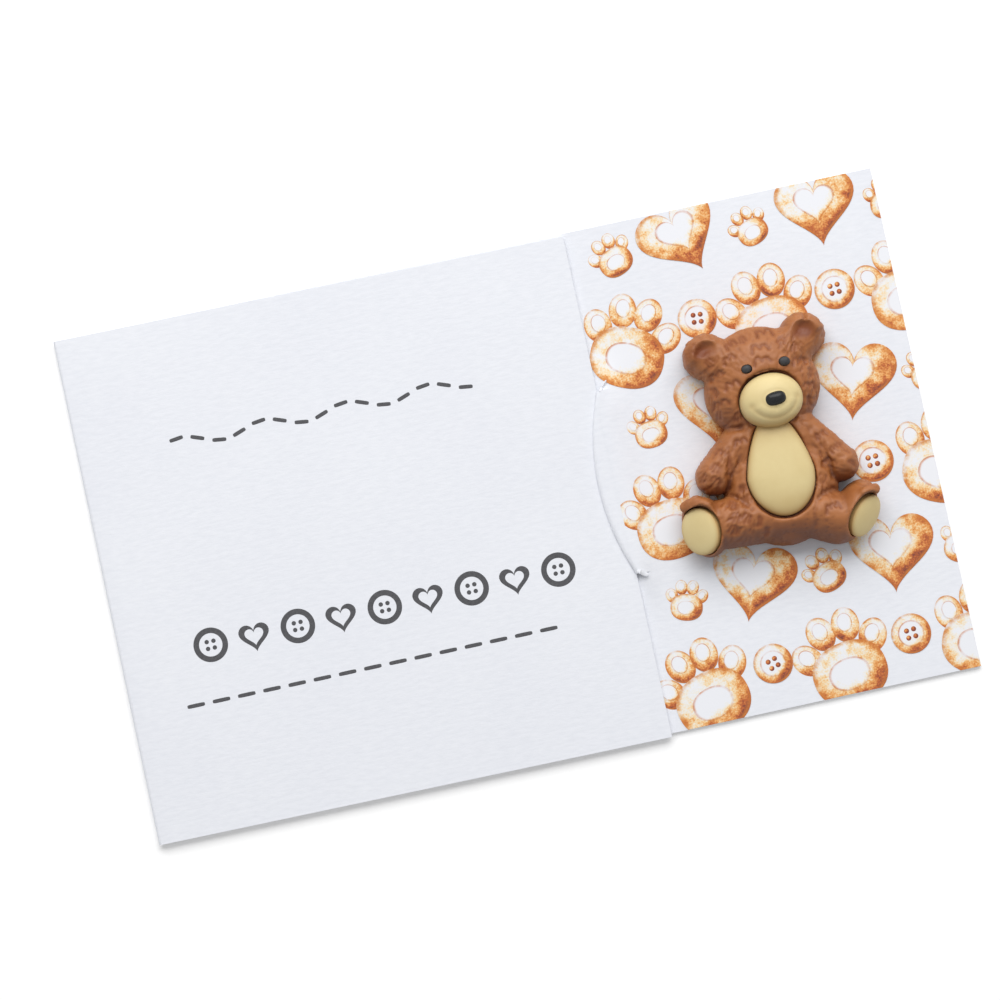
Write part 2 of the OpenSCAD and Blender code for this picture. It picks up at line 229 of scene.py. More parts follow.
def print_material():
    """Watercolour print, pale inside and golden to rust at its edges, with a thin patchy outline."""
    mat, tree, bsdf = new_material("watercolour_print")
    edge = attribute(tree, "edge")
    cloud = object_noise(tree, 760, 4, 0.62)
    grain = object_noise(tree, 5200, 2, 0.5)
    place = math_node(tree, "MULTIPLY", math_node(tree, "POWER", edge, 2.0), 0.42)
    side = attribute(tree, "side")
    for value, middle, weight in ((side, 0.0, 0.34), (cloud, 0.5, 1.25), (grain, 0.5, 0.55)):
        offset = math_node(tree, "SUBTRACT", value, middle)
        place = math_node(tree, "ADD", place, math_node(tree, "MULTIPLY", offset, weight))
    place = math_node(tree, "ADD", place, attribute(tree, "tone"), True)
    wash = ramp(tree, place, [(0.0, (0.84, 0.85, 0.89)), (0.17, (0.86, 0.82, 0.74)),
                              (0.34, (0.89, 0.66, 0.37)), (0.5, (0.8, 0.37, 0.11)),
                              (0.68, (0.52, 0.135, 0.04)), (0.88, (0.2, 0.055, 0.04))])
    line = ramp(tree, edge, [(0.86, (0, 0, 0)), (0.95, (1, 1, 1))])
    patchy = ramp(tree, cloud, [(0.36, (0.15, 0.15, 0.15)), (0.6, (0.85, 0.85, 0.85))])
    drawn = math_node(tree, "MULTIPLY", line, patchy)
    paint(tree, bsdf, mix_colour(tree, drawn, wash, (0.6, 0.2, 0.045)), 0.7, 0.3)
    return mat


def ink_material():
    mat, tree, bsdf = new_material("grey_ink")
    grain = object_noise(tree, 4000, 3, 0.6)
    colour = ramp(tree, grain, [(0.3, (0.045, 0.045, 0.05)), (0.75, (0.085, 0.085, 0.092))])
    paint(tree, bsdf, colour, 0.65)
    return mat


CARD = card_material()
BROWN = brown_material()
CREAM = cream_material()
BLACK = dark_material("black_gloss", (0.006, 0.006, 0.007), (0.012, 0.012, 0.013), 0.22, 0.34, 0.26)
SLATE = dark_material("slate_paint", (0.028, 0.028, 0.03), (0.055, 0.055, 0.058), 0.5, 0.62, 0.3)
GLUE = glue_material()
PRINT = print_material()
INK = ink_material()


# Mesh helpers

def mesh_object(name, points_mm, faces, material):
    mesh = bpy.data.meshes.new(name)
    mesh.from_pydata([tuple(c * MM for c in p) for p in points_mm], [], faces)
    mesh.validate()
    mesh.update()
    mesh.materials.append(material)
    mesh.polygons.foreach_set("use_smooth", [True] * len(mesh.polygons))
    obj = bpy.data.objects.new(name, mesh)
    scene.collection.objects.link(obj)
    return obj


def set_attribute(mesh, name, values):
    data = mesh.attributes.get(name) or mesh.attributes.new(name, "FLOAT", "POINT")
    data.data.foreach_set("value", np.asarray(values, dtype=np.float32))


def sharpen(obj, degrees):
    obj.data.set_sharp_from_angle(angle=math.radians(degrees))


def edit_mesh(mesh, change):
    work = bmesh.new()
    work.from_mesh(mesh)
    change(work)
    work.to_mesh(mesh)
    work.free()


def band(a, b, count):
    """Quads between two closed loops of points that start at a and b."""
    out = []
    for i in range(count):
        j = (i + 1) % count
        out.append((a + i, a + j, b + j, b + i))
    return out


def spin(x, y, degrees):
    c = math.cos(math.radians(degrees))
    s = math.sin(math.radians(degrees))
    return x * c - y * s, x * s + y * c


def placed(p, at, size, turn):
    """A point of a small shape that is scaled, turned and laid at a place."""
    x, y = spin(*p, turn)
    return at[0] + size * x, at[1] + size * y


def smoothstep(t):
    t = min(max(t, 0.0), 1.0)
    return t * t * (3 - 2 * t)


def bake_modifiers(obj):
    graph = bpy.context.evaluated_depsgraph_get()
    mesh = bpy.data.meshes.new_from_object(obj.evaluated_get(graph))
    obj.modifiers.clear()
    old = obj.data
    obj.data = mesh
    bpy.data.meshes.remove(old)


# Camera, as the photograph's view of the card

CAMERA_PLACE = (-0.01028, -0.01241, 0.31974)
CAMERA_TURN = (2.644, -0.998, -12.223)
CAMERA_LENS = 107.25

camera = bpy.data.objects.new("camera", bpy.data.cameras.new("camera"))
scene.collection.objects.link(camera)
camera.data.sensor_width = 36
camera.data.lens = CAMERA_LENS
camera.data.clip_start = 0.01
camera.data.clip_end = 20
camera.location = CAMERA_PLACE
camera.rotation_euler = Euler([math.radians(a) for a in CAMERA_TURN])
scene.camera = camera


# Card: one folded sheet, with the tab bent up over the flap

TAB_HALF = TAB_CHORD / 2
ROOT_HALF = TAB_HALF + TAB_FLARE
BEND_REACH = 4.2
BEND_MARGIN = 0.05
BEND_SIDES = 15.0
BEND_FADE = 7.5
UNDER_TAB = 0.4
PRESS_REACH = 0.45
PRESS_STOPS = (0, 0.12, 0.3, 0.6)
EDGE_PRESS = 0.6
TAB_SIDE_GAP = 0.02
TAB_REST = 0.6
SEAM_MARGIN = 1.0
CARD_EDGE = 50


def arc_x(y):
    """X of the tab's curved edge at a height y."""
    return TAB_TIP_X + TAB_RADIUS - math.sqrt(TAB_RADIUS ** 2 - y * y)


def bend_lift(x):
    """Rise of the back panel towards the tab's root."""
    return TAB_BASE * smoothstep((SEAM_X + BEND_REACH - x) / (BEND_REACH - BEND_MARGIN))


def bend_spread(y):
    """How that rise fades out above and below the tab, from 1 to 0."""
    return smoothstep((BEND_SIDES - abs(y)) / BEND_FADE)


def tab_underside(x, y):
    """Height of the tab's underside, and of the back panel's where it starts to bend up."""
    near = smoothstep((x - SEAM_X) / TAB_ROOT)
    return bend_lift(x) * (1 + (bend_spread(y) - 1) * near)


def panel_underside(x, y):
    """Height of the back panel's underside, level away from the tab's root."""
    under = smoothstep((x - SEAM_X + UNDER_TAB) / (TAB_ROOT + UNDER_TAB))
    return bend_lift(x) * bend_spread(y) * under


def flap_shear(x):
    return -FLAP_DROP * (x - FOLD_X) / FLAP_LENGTH


class Sheet:
    """A sheet of card with an outer side and an inner side, built from strips of quads."""

    def __init__(self):
        self.keys = {}
        self.outer = []
        self.inner = []
        self.quads = []

    def point(self, place, inward):
        key = tuple(round(c, 4) for c in place)
        if key not in self.keys:
            self.keys[key] = len(self.outer)
            self.outer.append(tuple(place))
            self.inner.append(tuple(a + CARD_STOCK * b for a, b in zip(place, inward)))
        return self.keys[key]

    def grid(self, rows):
        """Adds quads between rows of (place, inward) pairs."""
        ids = [[self.point(*p) for p in row] for row in rows]
        for a, b in zip(ids, ids[1:]):
            for i in range(len(a) - 1):
                quad = (a[i], a[i + 1], b[i + 1], b[i])
                if len(set(quad)) == 4:
                    self.quads.append(quad)

    def build(self, name, material):
        count = len(self.outer)
        faces = []
        edges = {}
        for q in self.quads:
            faces.append(q)
            faces.append(tuple(i + count for i in reversed(q)))
            for a, b in zip(q, q[1:] + q[:1]):
                edges[(a, b)] = edges.get((a, b), 0) + 1
        for a, b in edges:
            if (b, a) not in edges:
                faces.append((b, a, a + count, b + count))
        return mesh_object(name, self.outer + self.inner, faces, material)


def spaced(start, end, count):
    return [start + (end - start) * i / count for i in range(count + 1)]


def panel_rows(xs, ys):
    return [[((x, y, panel_underside(x, y)), (0, 0, 1)) for x in xs] for y in ys]


def make_card():
    sheet = Sheet()
    half = CARD_HEIGHT / 2
    bend_start = FOLD_X + FOLD_OUTER
    outside_y = spaced(half, ROOT_HALF, 14)
    inside_y = spaced(ROOT_HALF, -ROOT_HALF, 48)
    below_y = [-y for y in reversed(outside_y)]
    # Back panel right of the tab's root, bending up towards it
    near_x = spaced(TAB_ROOT_X, SEAM_X + BEND_REACH, 12)
    far_x = spaced(SEAM_X + BEND_REACH, CARD_LENGTH / 2, 16)
    sheet.grid(panel_rows(near_x + far_x[1:], outside_y + inside_y[1:-1] + below_y))
    # Back panel left of the root, above and below the window
    seam_start = SEAM_X - SEAM_MARGIN
    left_x = spaced(bend_start, seam_start, 14) + spaced(seam_start, TAB_ROOT_X, 10)[1:]
    for ys in (outside_y, below_y):
        sheet.grid(panel_rows(left_x, ys))
    # Back panel left of the window's curved edge
    rows = []
    for y in inside_y:
        edge = arc_x(min(max(y, -TAB_HALF), TAB_HALF))
        rows.append([((x, y, 0.0), (0, 0, 1)) for x in spaced(bend_start, edge, 24)])
    sheet.grid(rows)
    # Fold and flap, one run of the same sheet
    fold_rows = []
    fold_steps = 10
    flap_x = spaced(bend_start, SEAM_X, 40)
    for y in spaced(half, -half, 60):
        row = []
        for i in range(fold_steps + 1):
            angle = math.pi * i / fold_steps
            direction = (-math.sin(angle), 0, -math.cos(angle))
            place = (bend_start + FOLD_OUTER * direction[0], y, FOLD_OUTER * (1 + direction[2]))
            row.append((place, tuple(-c for c in direction)))
        for x in flap_x[1:]:
            row.append(((x, y + flap_shear(x), FLAP_TOP), (0, 0, -1)))
        fold_rows.append(list(reversed(row)))
    sheet.grid(fold_rows)
    card = sheet.build("folded_card", CARD)
    sharpen(card, CARD_EDGE)
    # Tab, from its curved edge to its root
    tab = Sheet()
    rows = []
    for y in spaced(ROOT_HALF, -ROOT_HALF, 64):
        edge_y = y * (1 - TAB_SIDE_GAP / ROOT_HALF)
        edge = arc_x(edge_y * TAB_HALF / ROOT_HALF)
        xs = [edge + PRESS_REACH * t for t in PRESS_STOPS]
        xs += spaced(edge + PRESS_REACH, TAB_ROOT_X, 18)
        row = []
        for x in xs:
            blend = (x - edge) / (TAB_ROOT_X - edge)
            yy = edge_y + (y - edge_y) * blend
            base = tab_underside(x, yy) - TAB_CLEARANCE * smoothstep((SEAM_X - x) / TAB_REST)
            pressed = 1 - EDGE_PRESS * (1 - min(1.0, (x - edge) / PRESS_REACH)) ** 2
            row.append(((x, yy, base), (0, 0, pressed)))
        rows.append(row)
    tab.grid(rows)
    tab_piece = tab.build("tuck_tab", CARD)
    sharpen(tab_piece, CARD_EDGE)
    for piece in (card, tab_piece):
        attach(piece, "root")
    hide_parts("card")


make_card()


# Bear button: places in its own frame, with its origin on the button's back

HEAD_AT = (0.2, 7.75)
MUZZLE_AT = (0.55, 4.92)
MUZZLE_HALF = (3.38, 2.88)
NOSE_AT = (0.8, 4.9)
NOSE_HALF = (1.14, 0.76)
NOSE_POWER = 2.5
NOSE_TURN = 4
LEFT_EYE_AT = (-1.36, 8.64)
RIGHT_EYE_AT = (2.74, 8.64)
LEFT_EYE_HALF = (0.53, 0.44)
RIGHT_EYE_HALF = (0.58, 0.48)
LEFT_EYE_POWER = 2.3
RIGHT_EYE_POWER = 2.1
TUMMY_AT = (-0.06, -2.9)
TUMMY_HALF_WIDTH = 3.62
TUMMY_ABOVE = 6.6
TUMMY_BELOW = 4.5
EGG_TAPER = 0.27
EGG_LEAN = 0.25
MUZZLE_SEAT = 3.7
MUZZLE_RIM = 1.2
MUZZLE_DOME = 1.9
NOSE_SEAT = 6.25
NOSE_RIM = 0.35
NOSE_DOME = 0.6
EYE_SEAT = 4.85
EYE_RIM = 0.5
EYE_DOME = 0.28
TUMMY_SEAT = 2.9
TUMMY_RIM = 1.25
TUMMY_DOME = 1.0
PAD_RIM = 0.9
PAD_DOME = 0.45
LEFT_PAD = {"at": (-9.15, -7.05, 2.0), "heading": 184, "lean": 38, "half": 2.26, "length": 2.56}
RIGHT_PAD = {"at": (7.56, -8.8, 2.2), "heading": -41, "lean": 46, "half": 1.9, "length": 2.42}


def blob(a, b, power=2.0):
    """Outline of a round or squarish form, as a function of the angle."""
    k = 2.0 / power

    def outline(angle):
        c = math.cos(angle)
        s = math.sin(angle)
        return a * math.copysign(abs(c) ** k, c), b * math.copysign(abs(s) ** k, s)

    return outline


def tummy_outline(angle):
    """An egg, narrower and leaning a little towards its top."""
    c = math.cos(angle)
    s = math.sin(angle)
    high = max(s, 0.0)
    x = TUMMY_HALF_WIDTH * c * (1 - EGG_TAPER * high) + EGG_LEAN * high
    return x, (TUMMY_ABOVE if s > 0 else TUMMY_BELOW) * s


def dome_points(outline, rim, dome, grow=0.0, around=128, rings=28, edge_round=0.12):
    """Rings of points of a domed insert, from its seat up over its rim to its crown."""
    loops = []
    base = [outline(2 * math.pi * i / around) for i in range(around)]

    def ring(scale, z):
        out = []
        for x, y in base:
            length = math.hypot(x, y)
            k = scale * (length + grow) / length
            out.append((x * k, y * k, z))
        loops.append(out)

    ring(1.0, 0.0)
    ring(1.0, 0.5 * rim)
    ring(1.0, rim - edge_round)
    for i in range(1, rings):
        t = 0.5 * math.pi * i / rings
        ring(math.cos(t), rim - edge_round + (dome + edge_round + grow) * math.sin(t))
    return loops, (0.0, 0.0, rim + dome + grow)


def dome_faces(loops, crown):
    around = len(loops[0])
    points = [p for loop in loops for p in loop] + [crown, (0.0, 0.0, loops[0][0][2])]
    faces = []
    for r in range(len(loops) - 1):
        faces += band(r * around, (r + 1) * around, around)
    last = (len(loops) - 1) * around
    top = len(loops) * around
    for i in range(around):
        j = (i + 1) % around
        faces.append((last + i, last + j, top))
        faces.append((j, i, top + 1))
    return points, faces


def to_card(points, matrix):
    return [tuple(matrix @ Vector(p)) for p in points]


def flat_place(at, z, turn=0.0):
    place = Matrix.Translation((BUTTON_X + at[0], at[1], BUTTON_Z + z))
    return place @ Matrix.Rotation(math.radians(turn), 4, "Z")


def pad_place(pad):
    flat = flat_place(pad["at"], pad["at"][2], pad["heading"])
    return flat @ Matrix.Rotation(math.radians(pad["lean"]), 4, "Y")


# Outline, rim, dome and place of each insert
INSERTS = {
    "muzzle": (blob(*MUZZLE_HALF), MUZZLE_RIM, MUZZLE_DOME, flat_place(MUZZLE_AT, MUZZLE_SEAT)),
    "tummy_panel": (tummy_outline, TUMMY_RIM, TUMMY_DOME, flat_place(TUMMY_AT, TUMMY_SEAT)),
    "left_eye": (blob(*LEFT_EYE_HALF, LEFT_EYE_POWER), EYE_RIM, EYE_DOME, flat_place(LEFT_EYE_AT, EYE_SEAT)),
    "right_eye": (blob(*RIGHT_EYE_HALF, RIGHT_EYE_POWER), EYE_RIM, EYE_DOME,
                  flat_place(RIGHT_EYE_AT, EYE_SEAT)),
    "nose": (blob(*NOSE_HALF, NOSE_POWER), NOSE_RIM, NOSE_DOME, flat_place(NOSE_AT, NOSE_SEAT, NOSE_TURN)),
    "left_foot_pad": (blob(LEFT_PAD["half"], LEFT_PAD["length"]), PAD_RIM, PAD_DOME, pad_place(LEFT_PAD)),
    "right_foot_pad": (blob(RIGHT_PAD["half"], RIGHT_PAD["length"]), PAD_RIM, PAD_DOME, pad_place(RIGHT_PAD)),
}
CUT_AROUND = 160
CUT_RINGS = 3
SEAT_LEVEL = 0.01


def cutter(name, grow, height):
    """A straight-walled tool as wide as an insert's seat, grown a little all round."""
    outline, _, _, place = INSERTS[name]
    points, faces = dome_faces(*dome_points(outline, height, 0.0, grow, CUT_AROUND, CUT_RINGS))
    points = [(x, y, z - grow if z < SEAT_LEVEL else z) for x, y, z in points]
    return tool_object(name, to_card(points, place), faces)


def tool_object(name, points, faces):
    """A cutting tool in millimetres, the units in which the body is worked."""
    tool = mesh_object("cut_" + name, points, faces, BROWN)
    tool.data.transform(Matrix.Scale(1 / MM, 4))
    return tool


# Gap between the left paw and the foot below it: x, y and half width along its middle
PAW_GAP = [(-9.4, -2.6, 0.3), (-8.35, -3.28, 0.24), (-7.66, -3.68, 0.2), (-6.93, -3.92, 0.17),
           (-6.2, -4.06, 0.12)]
GAP_BELOW = 0.5
GAP_ABOVE = 6.0
RELAX_PULL = 0.5


def path_run(path, i):
    """Direction of a path at one of its points."""
    ahead = path[min(i + 1, len(path) - 1)]
    behind = path[max(i - 1, 0)]
    return Vector((ahead[0] - behind[0], ahead[1] - behind[1])).normalized()


def strip_cutter(name, path, low, high):
    """A straight-walled cutter along a path in the button's frame."""
    right = []
    left = []
    for i, (x, y, half) in enumerate(path):
        run = path_run(path, i)
        right.append((x + half * run.y, y - half * run.x))
        left.append((x - half * run.y, y + half * run.x))
    loop = right + left[::-1]
    count = len(loop)
    points = [(BUTTON_X + x, y, z) for z in (low, high) for x, y in loop]
    faces = [tuple(reversed(range(count))), tuple(range(count, 2 * count))] + band(0, count, count)
    return tool_object(name, points, faces)


def apply_boolean(obj, tools, operation):
    for tool in tools:
        mod = obj.modifiers.new("b", "BOOLEAN")
        mod.operation = operation
        mod.solver = "MANIFOLD"
        mod.object = tool
        bake_modifiers(obj)
    for tool in tools:
        data = tool.data
        bpy.data.objects.remove(tool)
        bpy.data.meshes.remove(data)


def vertex_arrays(mesh):
    co = np.empty(len(mesh.vertices) * 3, dtype=np.float64)
    mesh.vertices.foreach_get("co", co)
    no = np.empty(len(mesh.vertices) * 3, dtype=np.float64)
    mesh.vertex_normals.foreach_get("vector", no)
    edges = np.empty(len(mesh.edges) * 2, dtype=np.int64)
    mesh.edges.foreach_get("vertices", edges)
    return co.reshape(-1, 3), no.reshape(-1, 3), edges.reshape(-1, 2)


def neighbour_mean(values, edges):
    total = np.zeros_like(values)
    count = np.zeros(len(values))
    np.add.at(total, edges[:, 0], values[edges[:, 1]])
    np.add.at(total, edges[:, 1], values[edges[:, 0]])
    np.add.at(count, edges[:, 0], 1)
    np.add.at(count, edges[:, 1], 1)
    return total / np.maximum(count, 1)[:, None]


def relax(co, edges, rounds, part=None):
    """Moves points towards their neighbours' middle, all alike or by a part from 0 to 1."""
    pull = RELAX_PULL
    if part is not None:
        edges = edges[(part[edges[:, 0]] + part[edges[:, 1]]) > 0]
        pull = RELAX_PULL * part[:, None]
    for _ in range(rounds):
        co = co + pull * (neighbour_mean(co, edges) - co)
    return co


# Fur marks: small tufts of strokes pressed into the moulding, and fine strokes combed outwards

LEFT_EAR = (-5.05, 11.2)
RIGHT_EAR = (5.65, 11.2)
TORSO_AT = (0.0, -3.0)
STROKE_REACH = 0.9
SWELL_AT = 2.4
SWELL_WIDTH = 1.3
# Middle, size and turn in degrees of each tuft, by kind
TUFTS = {
    "arches": [
        (1.5, 12.1, 0.95, -4), (0.5, 10.5, 0.95, 4), (0.4, 9.1, 0.85, 0), (-2.3, 11.6, 0.6, 25),
        (-2.9, 10.1, 0.65, 20), (-4.5, 8.7, 0.65, 20), (-3.2, 7.3, 0.75, 8), (-4.7, 5.6, 0.75, 5),
        (4.4, 8.3, 0.75, -10), (5.0, 5.6, 0.6, -20), (-3.5, 1.3, 0.6, 0), (-5.6, 0.4, 0.7, -35),
        (-6.9, -2.2, 0.5, -30), (5.1, 0.2, 0.6, 20), (6.3, -1.4, 0.65, 25), (5.0, -2.7, 0.55, 15),
        (4.6, -7.6, 0.8, 5),
    ],
    "fan": [
        (-1.0, 11.9, 0.55, 15), (-4.9, 10.2, 0.7, 40), (-3.2, 3.9, 0.6, 0), (3.0, 10.9, 0.6, -20),
        (-6.7, -0.9, 0.75, -40), (-5.8, -5.1, 0.65, -25), (-5.8, -6.5, 0.8, -30),
        (-6.3, -7.7, 0.75, -25), (-4.7, -6.8, 0.8, -35), (-4.3, -3.6, 0.5, -5),
    ],
    "pair": [
        (-5.1, 7.0, 0.6, 10), (4.1, 10.0, 0.6, -35), (4.5, 4.1, 0.5, -20), (5.4, 7.0, 0.5, -25),
        (-8.2, -1.6, 0.55, -40), (-5.2, -0.7, 0.5, -20), (7.6, -3.4, 0.45, 40), (-3.5, -7.4, 0.6, -30),
        (-2.9, -8.6, 0.4, -20),
    ],
}
WAVY_UNEVEN = 0.1
HUMP_STEPS = 5
HUMP_POWER = 0.7


def wavy_line():
    """A small uneven line of two or three round humps, as short straight runs."""
    humps = rng.choice((2, 2, 2, 3))
    line = [(-1.0 + rng.uniform(-1, 1) * WAVY_UNEVEN, rng.uniform(-0.5, -0.25))]
    tops = [rng.uniform(0.35, 0.6) for _ in range(humps)]
    for i in range(1, humps * HUMP_STEPS):
        along = i / HUMP_STEPS
        top = tops[int(along)]
        x = 2 * along / humps - 1 + rng.uniform(-1, 1) * WAVY_UNEVEN / 2
        hump = top * abs(math.sin(math.pi * along)) ** HUMP_POWER
        line.append((x, hump + rng.uniform(-1, 1) * WAVY_UNEVEN / 2))
    line.append((1.0 + rng.uniform(-1, 1) * WAVY_UNEVEN, rng.uniform(-0.4, -0.1)))
    return list(zip(line, line[1:]))


def tuft_strokes(kind, x, y, size, turn):
    """Strokes of one tuft in the button's frame, as pairs of end points."""
    if kind == "arches":
        shape = wavy_line()
    elif kind == "fan":
        shape = [((-0.35, 0.5), (-0.6, -0.35)), ((0.0, 0.6), (-0.12, -0.6)), ((0.42, 0.45), (0.5, -0.4))]
    else:
        shape = [((-0.1, 0.75), (0.12, -0.75)), ((0.32, 0.55), (0.45, -0.45))]
    return [tuple(placed(p, (x, y), size, turn) for p in pair) for pair in shape]


FINE_COUNT = 620
FUR_X = (-10.5, 10.0)
FUR_Y = (-11.5, 14.0)
SMOOTH_BELOW = -6.4
SMOOTH_RIGHT_OF = -4.0
NECK_Y = 2.6
FACE_DROP = 2.5
BODY_SPREAD = 0.8
BODY_FALL = -3.5
FINE_STRAY = 0.5
FINE_HALF = (0.22, 0.55)


def fine_strokes(count):
    """Short strokes all over, combed away from the face and down the body."""
    out = []
    for _ in range(count):
        x = rng.uniform(*FUR_X)
        y = rng.uniform(*FUR_Y)
        if y < SMOOTH_BELOW and x > SMOOTH_RIGHT_OF:
            continue
        if y > NECK_Y:
            dx = x - HEAD_AT[0]
            dy = y - HEAD_AT[1] + FACE_DROP
        else:
            dx = BODY_SPREAD * (x - TORSO_AT[0])
            dy = BODY_FALL
        angle = math.atan2(dy, dx) + rng.uniform(-FINE_STRAY, FINE_STRAY)
        half = rng.uniform(*FINE_HALF)
        step = (half * math.cos(angle), half * math.sin(angle))
        out.append(((x - step[0], y - step[1]), (x + step[0], y + step[1])))
    return out


# Patches combed one way: middle, half width, half height, heading in degrees and number of strokes
COMBS = [
    (-4.5, 9.7, 0.9, 1.0, 212, 18), (5.3, 6.8, 0.9, 2.2, 262, 34), (3.6, 10.4, 1.0, 1.1, 235, 16),
    (4.6, 9.7, 0.7, 0.8, 300, 10), (-5.2, -6.2, 1.5, 1.6, 232, 34), (-5.6, -0.4, 0.9, 1.4, 238, 18),
    (-7.2, -1.6, 1.0, 0.9, 215, 12), (5.2, -1.4, 0.8, 1.6, 285, 8), (6.6, -1.8, 0.9, 1.0, 310, 5),
    (-5.4, 6.3, 0.6, 1.8, 250, 18), (-4.3, -4.2, 0.6, 1.0, 255, 12), (4.2, -4.6, 0.6, 0.8, 240, 10),
]
COMB_STRAY = 18
COMB_LENGTH = (0.3, 0.8)
PIT_COUNT = 60
PIT_X = (-4.0, 6.0)
PIT_Y = (-10.5, -7.2)
PIT_LENGTH = 0.05


def comb_strokes():
    out = []
    for x, y, half_width, half_height, heading, count in COMBS:
        for _ in range(count):
            px = x + rng.uniform(-1, 1) * half_width
            py = y + rng.uniform(-1, 1) * half_height
            angle = math.radians(heading + rng.uniform(-COMB_STRAY, COMB_STRAY))
            length = rng.uniform(*COMB_LENGTH)
            out.append(((px, py), (px + length * math.cos(angle), py + length * math.sin(angle))))
    return out


def pit_marks(count):
    """Tiny pits over the lower body, each a stroke hardly longer than it is wide."""
    out = []
    for _ in range(count):
        x = rng.uniform(*PIT_X)
        y = rng.uniform(*PIT_Y)
        out.append(((x, y), (x + PIT_LENGTH, y)))
    return out


TUFT_STROKES = [stroke for kind in TUFTS for tuft in TUFTS[kind] for stroke in tuft_strokes(kind, *tuft)]
FINE_STROKES = fine_strokes(FINE_COUNT)
COMB_STROKES = comb_strokes()
PITS = pit_marks(PIT_COUNT)


def stroke_depth(xy, strokes, width):
    """How deep strokes press at each place, from 0 to 1, and how much their sides rise."""
    press = np.zeros(len(xy))
    swell = np.zeros(len(xy))
    for (ax, ay), (bx, by) in strokes:
        low = np.array([min(ax, bx), min(ay, by)]) - STROKE_REACH
        high = np.array([max(ax, bx), max(ay, by)]) + STROKE_REACH
        ids = np.nonzero(((xy > low) & (xy < high)).all(axis=1))[0]
        if not len(ids):
            continue
        p = xy[ids]
        d = np.array([bx - ax, by - ay])
        t = np.clip(((p - (ax, ay)) @ d) / (d @ d), 0, 1)
        away = np.hypot(*(p - (np.array([ax, ay]) + t[:, None] * d)).T)
        press[ids] = np.maximum(press[ids], np.exp(-(away / width) ** 2))
        swell[ids] = np.maximum(swell[ids], np.exp(-((away - SWELL_AT * width) / (SWELL_WIDTH * width)) ** 2))
    return press, swell


# Soft creases: down each arm, round the right leg, at the left hip and at the shoulders
CREASES = [
    [(4.2, 1.2), (4.7, 0.0), (5.1, -1.5), (5.4, -3.0), (5.4, -4.4)],
    [(-4.0, 1.6), (-4.6, 0.6), (-5.2, -0.6), (-5.5, -2.0), (-5.7, -3.3)],
    [(2.4, -9.0), (2.5, -7.6), (3.1, -6.5), (4.1, -5.8), (5.3, -5.6)],
    [(-5.5, -4.1), (-4.6, -5.0), (-3.9, -5.9)],
    [(-5.6, 3.1), (-4.2, 2.7), (-3.0, 2.7)],
    [(5.0, 2.4), (4.3, 2.2), (3.6, 2.3)],
]
CREASE_STROKES = [pair for line in CREASES for pair in zip(line, line[1:])]


def waves(xy, scale, shift):
    """A smooth uneven swell over the surface, from -1 to 1."""
    x = xy[:, 0] * scale + shift
    y = xy[:, 1] * scale - shift
    first = np.sin(x + 1.3 * np.sin(0.57 * y)) * np.sin(0.87 * y + 1.1 * np.sin(0.61 * x))
    second = np.sin(2.3 * x + 2.1 * y) * np.sin(1.9 * y - 1.7 * x + 2.0)
    return 0.7 * first + 0.3 * second


# Ears: dishes, the painted shade in their upper parts, the rims that run out into the head, and a notch in
# the right one

DISH_RADIUS = 1.45
DISH_EDGE = 1.2
DISH_POWER = 1.2
DISH_LINE = [(-4.4, 11.95), (-5.3, 11.75), (-6.0, 11.1), (-6.05, 10.5)]
DISH_STROKES = list(zip(DISH_LINE, DISH_LINE[1:]))
LEFT_SHADE = (-5.55, 11.15)
RIGHT_SHADE = (5.65, 11.15)
SHADE_HALF = (1.35, 1.1)
SHADE_EDGE = 1.35
SHADE_RISE = 0.25
SHADE_LOW = 0.9
LEFT_FOOT_HEADING = -60
RIGHT_FOOT_HEADING = -95
FOOT_REACH = 2.8
FOOT_FADE = 0.6
NOTCH_HEADING = 75
NOTCH_INSIDE = 1.3
NOTCH_WIDTH = 0.28
NOTCH_DEPTH = 0.45
EAR_REACH = 3.4
EAR_FADE = 0.8


def ease(t):
    t = np.clip(t, 0, 1)
    return t * t * (3 - 2 * t)


def turned(xy, at, heading):
    """Distances along a heading from a place, and across it."""
    c = math.cos(math.radians(heading))
    s = math.sin(math.radians(heading))
    dx = xy[:, 0] - at[0]
    dy = xy[:, 1] - at[1]
    return dx * c + dy * s, dx * s - dy * c


def distance(xy, at):
    return np.hypot(xy[:, 0] - at[0], xy[:, 1] - at[1])


def ear_distance(xy):
    return np.minimum(distance(xy, LEFT_EAR), distance(xy, RIGHT_EAR))


def ear_dishes(xy):
    """How far inside an ear's dish each place is, from 0 at its rim to 1."""
    return np.clip(DISH_EDGE - ear_distance(xy) / DISH_RADIUS, 0, 1) ** DISH_POWER


def ear_shade(xy, at):
    """Painted shade in the upper part of a dish, fading out below."""
    away = np.hypot((xy[:, 0] - at[0]) / SHADE_HALF[0], (xy[:, 1] - at[1] - SHADE_RISE) / SHADE_HALF[1])
    return np.clip(SHADE_EDGE - away, 0, 1) ** 0.8 * ease((xy[:, 1] - at[1] + SHADE_LOW) / 1.0)


def ear_foot(xy, ear, heading):
    """The lower rim of a dish, which runs out smoothly into the head along a heading."""
    along = turned(xy, ear, heading)[0]
    return ease((FOOT_REACH - distance(xy, ear)) / FOOT_FADE) * ease((along + 0.5) / 0.7)


def ear_notch(xy, z):
    """A groove over the right ear's outer rim, which fades out down its wall."""
    along, across = turned(xy, RIGHT_EAR, NOTCH_HEADING)
    outer = ease((along - NOTCH_INSIDE) / 0.5)
    upper = ease((z - BUTTON_Z - 0.8) / 1.5)
    return np.exp(-(across / NOTCH_WIDTH) ** 2) * outer * upper


def near_ears(xy):
    return ease((EAR_REACH - ear_distance(xy)) / EAR_FADE)


# Body: the solid's shape, rounded, with its marks pressed in and its seats cut

